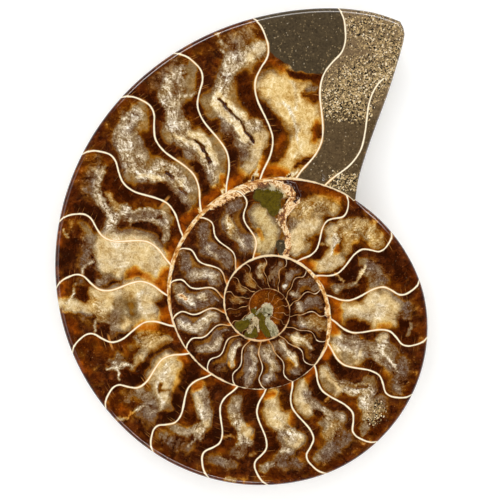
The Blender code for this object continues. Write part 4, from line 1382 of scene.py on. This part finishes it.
def shellBack(grains):
    material, n, shader = startMaterial("shellBack")
    place = n.vector("SCALE", n.add("ShaderNodeTexCoord", output="Object"), 1.0 / mm)
    mottle, specks, pits = n.grit(grains, place)
    east, north, rise = n.split(n.vector("SUBTRACT", place, stone["coilCentre"]))
    outward = n.vector("LENGTH", n.combine(east, north))
    turn = north.math("ARCTAN2", east)

    # growth lines run with the ribs, rim to hub, and lean forward
    ribPhase = turn * float(back["ribs"]) + outward * back["ribLean"]
    rib = ribPhase.math("SINE").line(0.5, 0.5)
    leaning = turn + outward * (back["ribLean"] / back["ribs"])
    heading = n.combine(leaning.math("COSINE"), leaning.math("SINE"))
    lineAt = n.vector("ADD", n.vector("SCALE", heading, 46.0), n.combine(0.0, 0.0, outward * 0.12))
    lines = n.noise(lineAt, 1.0, 4.0, 0.6)
    fineLines = n.noise(n.vector("SCALE", lineAt, 3.2), 1.0, 2.0, 0.5)
    broad = n.noise(place, 0.07, 4.0, 0.6)
    blotch = n.noise(place, 0.25, 5.0, 0.65, (7.0, 31.0, 0.0))

    value = broad * 0.62 + lines * 0.38 + (rib - 0.5) * shellFinish["ribContrast"]
    value = value + (mottle - 0.5) * 0.35
    colour = n.ramp(value, shellFinish["stone"])

    pearl = n.noise(place, 0.11, 5.0, 0.6, (50.0, 12.0, 0.0))
    pearlHere = n.step(pearl + (lines - 0.5) * 0.25, 0.46, 0.53)
    sheen = n.noise(place, 0.17, 3.0, 0.6, (3.0, 90.0, 0.0))
    sheen = sheen * 0.75 + fineLines * 0.3 + (rib - 0.5) * 0.14
    colour = n.mix(pearlHere * 0.85, colour, n.ramp(sheen, shellFinish["nacre"]))
    nearFace = n.step(rise, 12.5, 15.5) * (1.0 - n.step(north, 60.0, 80.0))
    colour = n.mix(nearFace * 0.75, colour, shellFinish["edge"])
    crackAt = abs(n.noise(place, 0.2, 5.0, 0.6, (21.0, 5.0, 0.0)) - 0.5)
    crack = 1.0 - n.step(crackAt, 0.0, 0.008)
    colour = n.mix(crack * 0.7, colour, shellFinish["darkBrownAndShade"])
    stain = n.step(blotch, 0.55, 0.68)
    colour = n.mix(stain * 0.5, colour, shellFinish["rust"])

    # the smaller whorls wind into the hub, one turn for each step of this spiral
    wind = (outward / 17.1).math("LOGARITHM", math.e) * -1.05
    wound = (wind - turn / (2.0 * math.pi) + 20.0).math("FRACT")
    toSeam = n.least(wound, 1.0 - wound)
    inHub = 1.0 - n.step(outward, 20.0, 25.0)
    seam = (1.0 - n.step(toSeam, 0.02, 0.14)) * inHub
    # painted highlight: each inner whorl is painted paler midway between its seams
    colour = n.mix(n.step(toSeam, 0.2, 0.5) * inHub * 0.5, colour, shellFinish["chalk"])

    # the hub is darker brown, with painted shade along the seams between its inner whorls; darker brown
    # lies in patches along the furrows, and the crest the fossil rests on is rubbed pale
    hub = n.step(rise, 2.0, 8.0) * (1.0 - n.step(outward, 24.0, 38.0))
    furrow = (1.0 - rib) * 0.3
    darkBrownAndShade = (hub * seam.line(0.6, 0.35) + furrow * n.step(blotch, 0.4, 0.6)).clamped()
    colour = n.mix(darkBrownAndShade, colour, n.mix(mottle, shellFinish["darkBrownAndShade"], shellFinish["midBrown"]))
    rubbed = (1.0 - n.step(rise, 0.1, 1.2)) * n.step(lines + mottle, 0.9, 1.15)
    colour = n.mix(rubbed * 0.6, colour, shellFinish["chalk"])
    colour = n.mix(specks * 0.35, colour, shellFinish["chalk"])
    colour = n.mix(pits * 0.6, colour, shellFinish["darkBrownAndShade"])

    # the sawn end cuts through the silt that fills the shell
    facing = n.split(n.add("ShaderNodeTexCoord", output="Normal"))[0]
    sawn = n.step(facing, 0.8, 0.86) * n.step(north, 24.0, 27.0)
    sawLines = n.noise(n.combine(rise * 3.0, north * 0.15), 1.0, 2.0, 0.5)
    colour = n.mix(sawn, colour, n.ramp(mottle * 0.7 + sawLines * 0.3, shellFinish["sawn"]))

    n.put(shader["Base Color"], colour)
    gloss = pearlHere * (1.0 - n.most(n.most(darkBrownAndShade, sawn), nearFace))
    n.put(shader["Roughness"], gloss.line(-0.22, 0.52) + (fineLines - 0.5) * 0.2)
    n.put(shader["Coat Weight"], gloss * 0.35)
    shader["Coat Roughness"].default_value = shellFinish["coatRoughness"]
    height = lines * 0.9 + fineLines * 0.35 + mottle * 0.5 - seam * 1.5 - (crack * 0.5 + pits * 0.8)
    n.put(shader["Normal"], n.bump(height, 0.6, 0.3))
    return material


shape, ring = buildShape()
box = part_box("ammonite_half")
low, high = Vector(box[0]), Vector(box[1])
corners = np.array([v.co[:] for v in shape.verts])
middle = (corners.min(0) + corners.max(0)) / 2
span = corners.max(0) - corners.min(0)
fit = min((high - low)[k] / (span[k] * mm) for k in range(3)) * mm
bmesh.ops.translate(shape, vec=(-middle[0], -middle[1], -corners[:, 2].min()), verts=shape.verts)
bmesh.ops.scale(shape, vec=(fit, fit, fit), verts=shape.verts)
bmesh.ops.translate(shape, vec=((low.x + high.x) / 2, (low.y + high.y) / 2, low.z), verts=shape.verts)
mesh = bpy.data.meshes.new("fossilHalf")
shape.to_mesh(mesh)
shape.free()
markFace(mesh)
fossil = bpy.data.objects.new("fossilHalf", mesh)
bpy.context.scene.collection.objects.link(fossil)
grains = stoneGrain()
mesh.materials.append(polishedStone(grains))
mesh.materials.append(shellBack(grains))
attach(fossil, "root")
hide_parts("ammonite_half")
print("fossil:", len(mesh.polygons), "faces")


studio = {
    "floorTone": tone(252, 252, 251),
    "floorGlow": 0.14,
    "floorReach": 0.9,
    "airTone": tone(245, 247, 250),
    "world": 0.12,
    "lens": 120.0,
    "viewWidth": 0.1357,
    "viewCentre": (0.00235, -0.00091),
    "softboxes": 6,
    "softboxReach": 0.55,
    "softboxRise": 0.6,
    "softboxFrom": 120.0,     # where the first one stands, degrees round from +X
    "power": 1.1,
    "keyBoost": 1.5,          # the first softbox is the key light
    "glossyFrom": (1, 5),     # the softboxes that the polish mirrors
    "overhead": 7.0,
    "rimStrip": 5.0,
    "rimStripSouth": 1.75,
}

floorShape = bmesh.new()
bmesh.ops.create_grid(floorShape, x_segments=4, y_segments=4, size=studio["floorReach"])
floorMesh = bpy.data.meshes.new("studioFloor")
floorShape.to_mesh(floorMesh)
floorShape.free()
floor = bpy.data.objects.new("studioFloor", floorMesh)
bpy.context.scene.collection.objects.link(floor)
floorFinish = bpy.data.materials.new("floorPaper")
floorFinish.use_nodes = True
paper = floorFinish.node_tree.nodes["Principled BSDF"]
paper.inputs["Base Color"].default_value = studio["floorTone"]
paper.inputs["Roughness"].default_value = 0.8
paper.inputs["Emission Color"].default_value = studio["floorTone"]
paper.inputs["Emission Strength"].default_value = studio["floorGlow"]
floorMesh.materials.append(floorFinish)

target = Vector((*studio["viewCentre"], high.z))


def softbox(name, place, size, power, glossy, diffuse=True):
    # place is east and north of the view's centre, and above the floor
    east, north, rise = place
    light = bpy.data.lights.new(name, "AREA")
    light.shape = "RECTANGLE"
    light.size, light.size_y = size
    light.energy = power
    lamp = bpy.data.objects.new(name, light)
    lamp.location = (target.x + east, target.y + north, rise)
    lamp.rotation_euler = (target - lamp.location).to_track_quat("-Z", "Y").to_euler()
    lamp.visible_glossy = glossy
    lamp.visible_diffuse = diffuse
    bpy.context.scene.collection.objects.link(lamp)


for k in range(studio["softboxes"]):
    turn = math.radians(360.0 * k / studio["softboxes"] + studio["softboxFrom"])
    east, north = studio["softboxReach"] * math.cos(turn), studio["softboxReach"] * math.sin(turn)
    power = studio["power"] * (studio["keyBoost"] if k == 0 else 1.0)
    place = (east, north, studio["softboxRise"])
    softbox("softbox%d" % (k + 1), place, (0.5, 0.4), power, k in studio["glossyFrom"])

softbox("overheadBox", (0.0, 0.0, 1.12), (1.4, 1.4), studio["overhead"], False)
# long low strips that only the polished rim mirrors
softbox("rimStripNorth", (0.02, 0.42, 0.62), (0.9, 0.16), studio["rimStrip"], True, False)
softbox("rimStripSouth", (-0.2, -0.5, 0.6), (0.5, 0.05), studio["rimStripSouth"], True, False)

world = bpy.data.worlds.new("studioAir")
world.use_nodes = True
air = world.node_tree.nodes["Background"]
air.inputs["Color"].default_value = studio["airTone"]
sky = Nodes(world.node_tree)
up = sky.split(sky.add("ShaderNodeTexCoord", output="Generated"))[2]
shine = 1.0 - sky.step(up, 0.6, 0.97)   # reflections fade to black overhead
glossy = sky.add("ShaderNodeLightPath", output="Is Glossy Ray")
dimmed = 1.0 - glossy * (1.0 - shine)
sky.put(air.inputs["Strength"], dimmed * studio["world"])
bpy.context.scene.world = world
bpy.context.scene.view_settings.view_transform = "Standard"

lens = bpy.data.cameras.new("mainCamera")
lens.lens = studio["lens"]
lens.clip_start = 0.01
camera = bpy.data.objects.new("mainCamera", lens)
away = studio["viewWidth"] * studio["lens"] / lens.sensor_width
camera.location = target + Vector((0.0, 0.0, away))
bpy.context.scene.collection.objects.link(camera)
bpy.context.scene.camera = camera
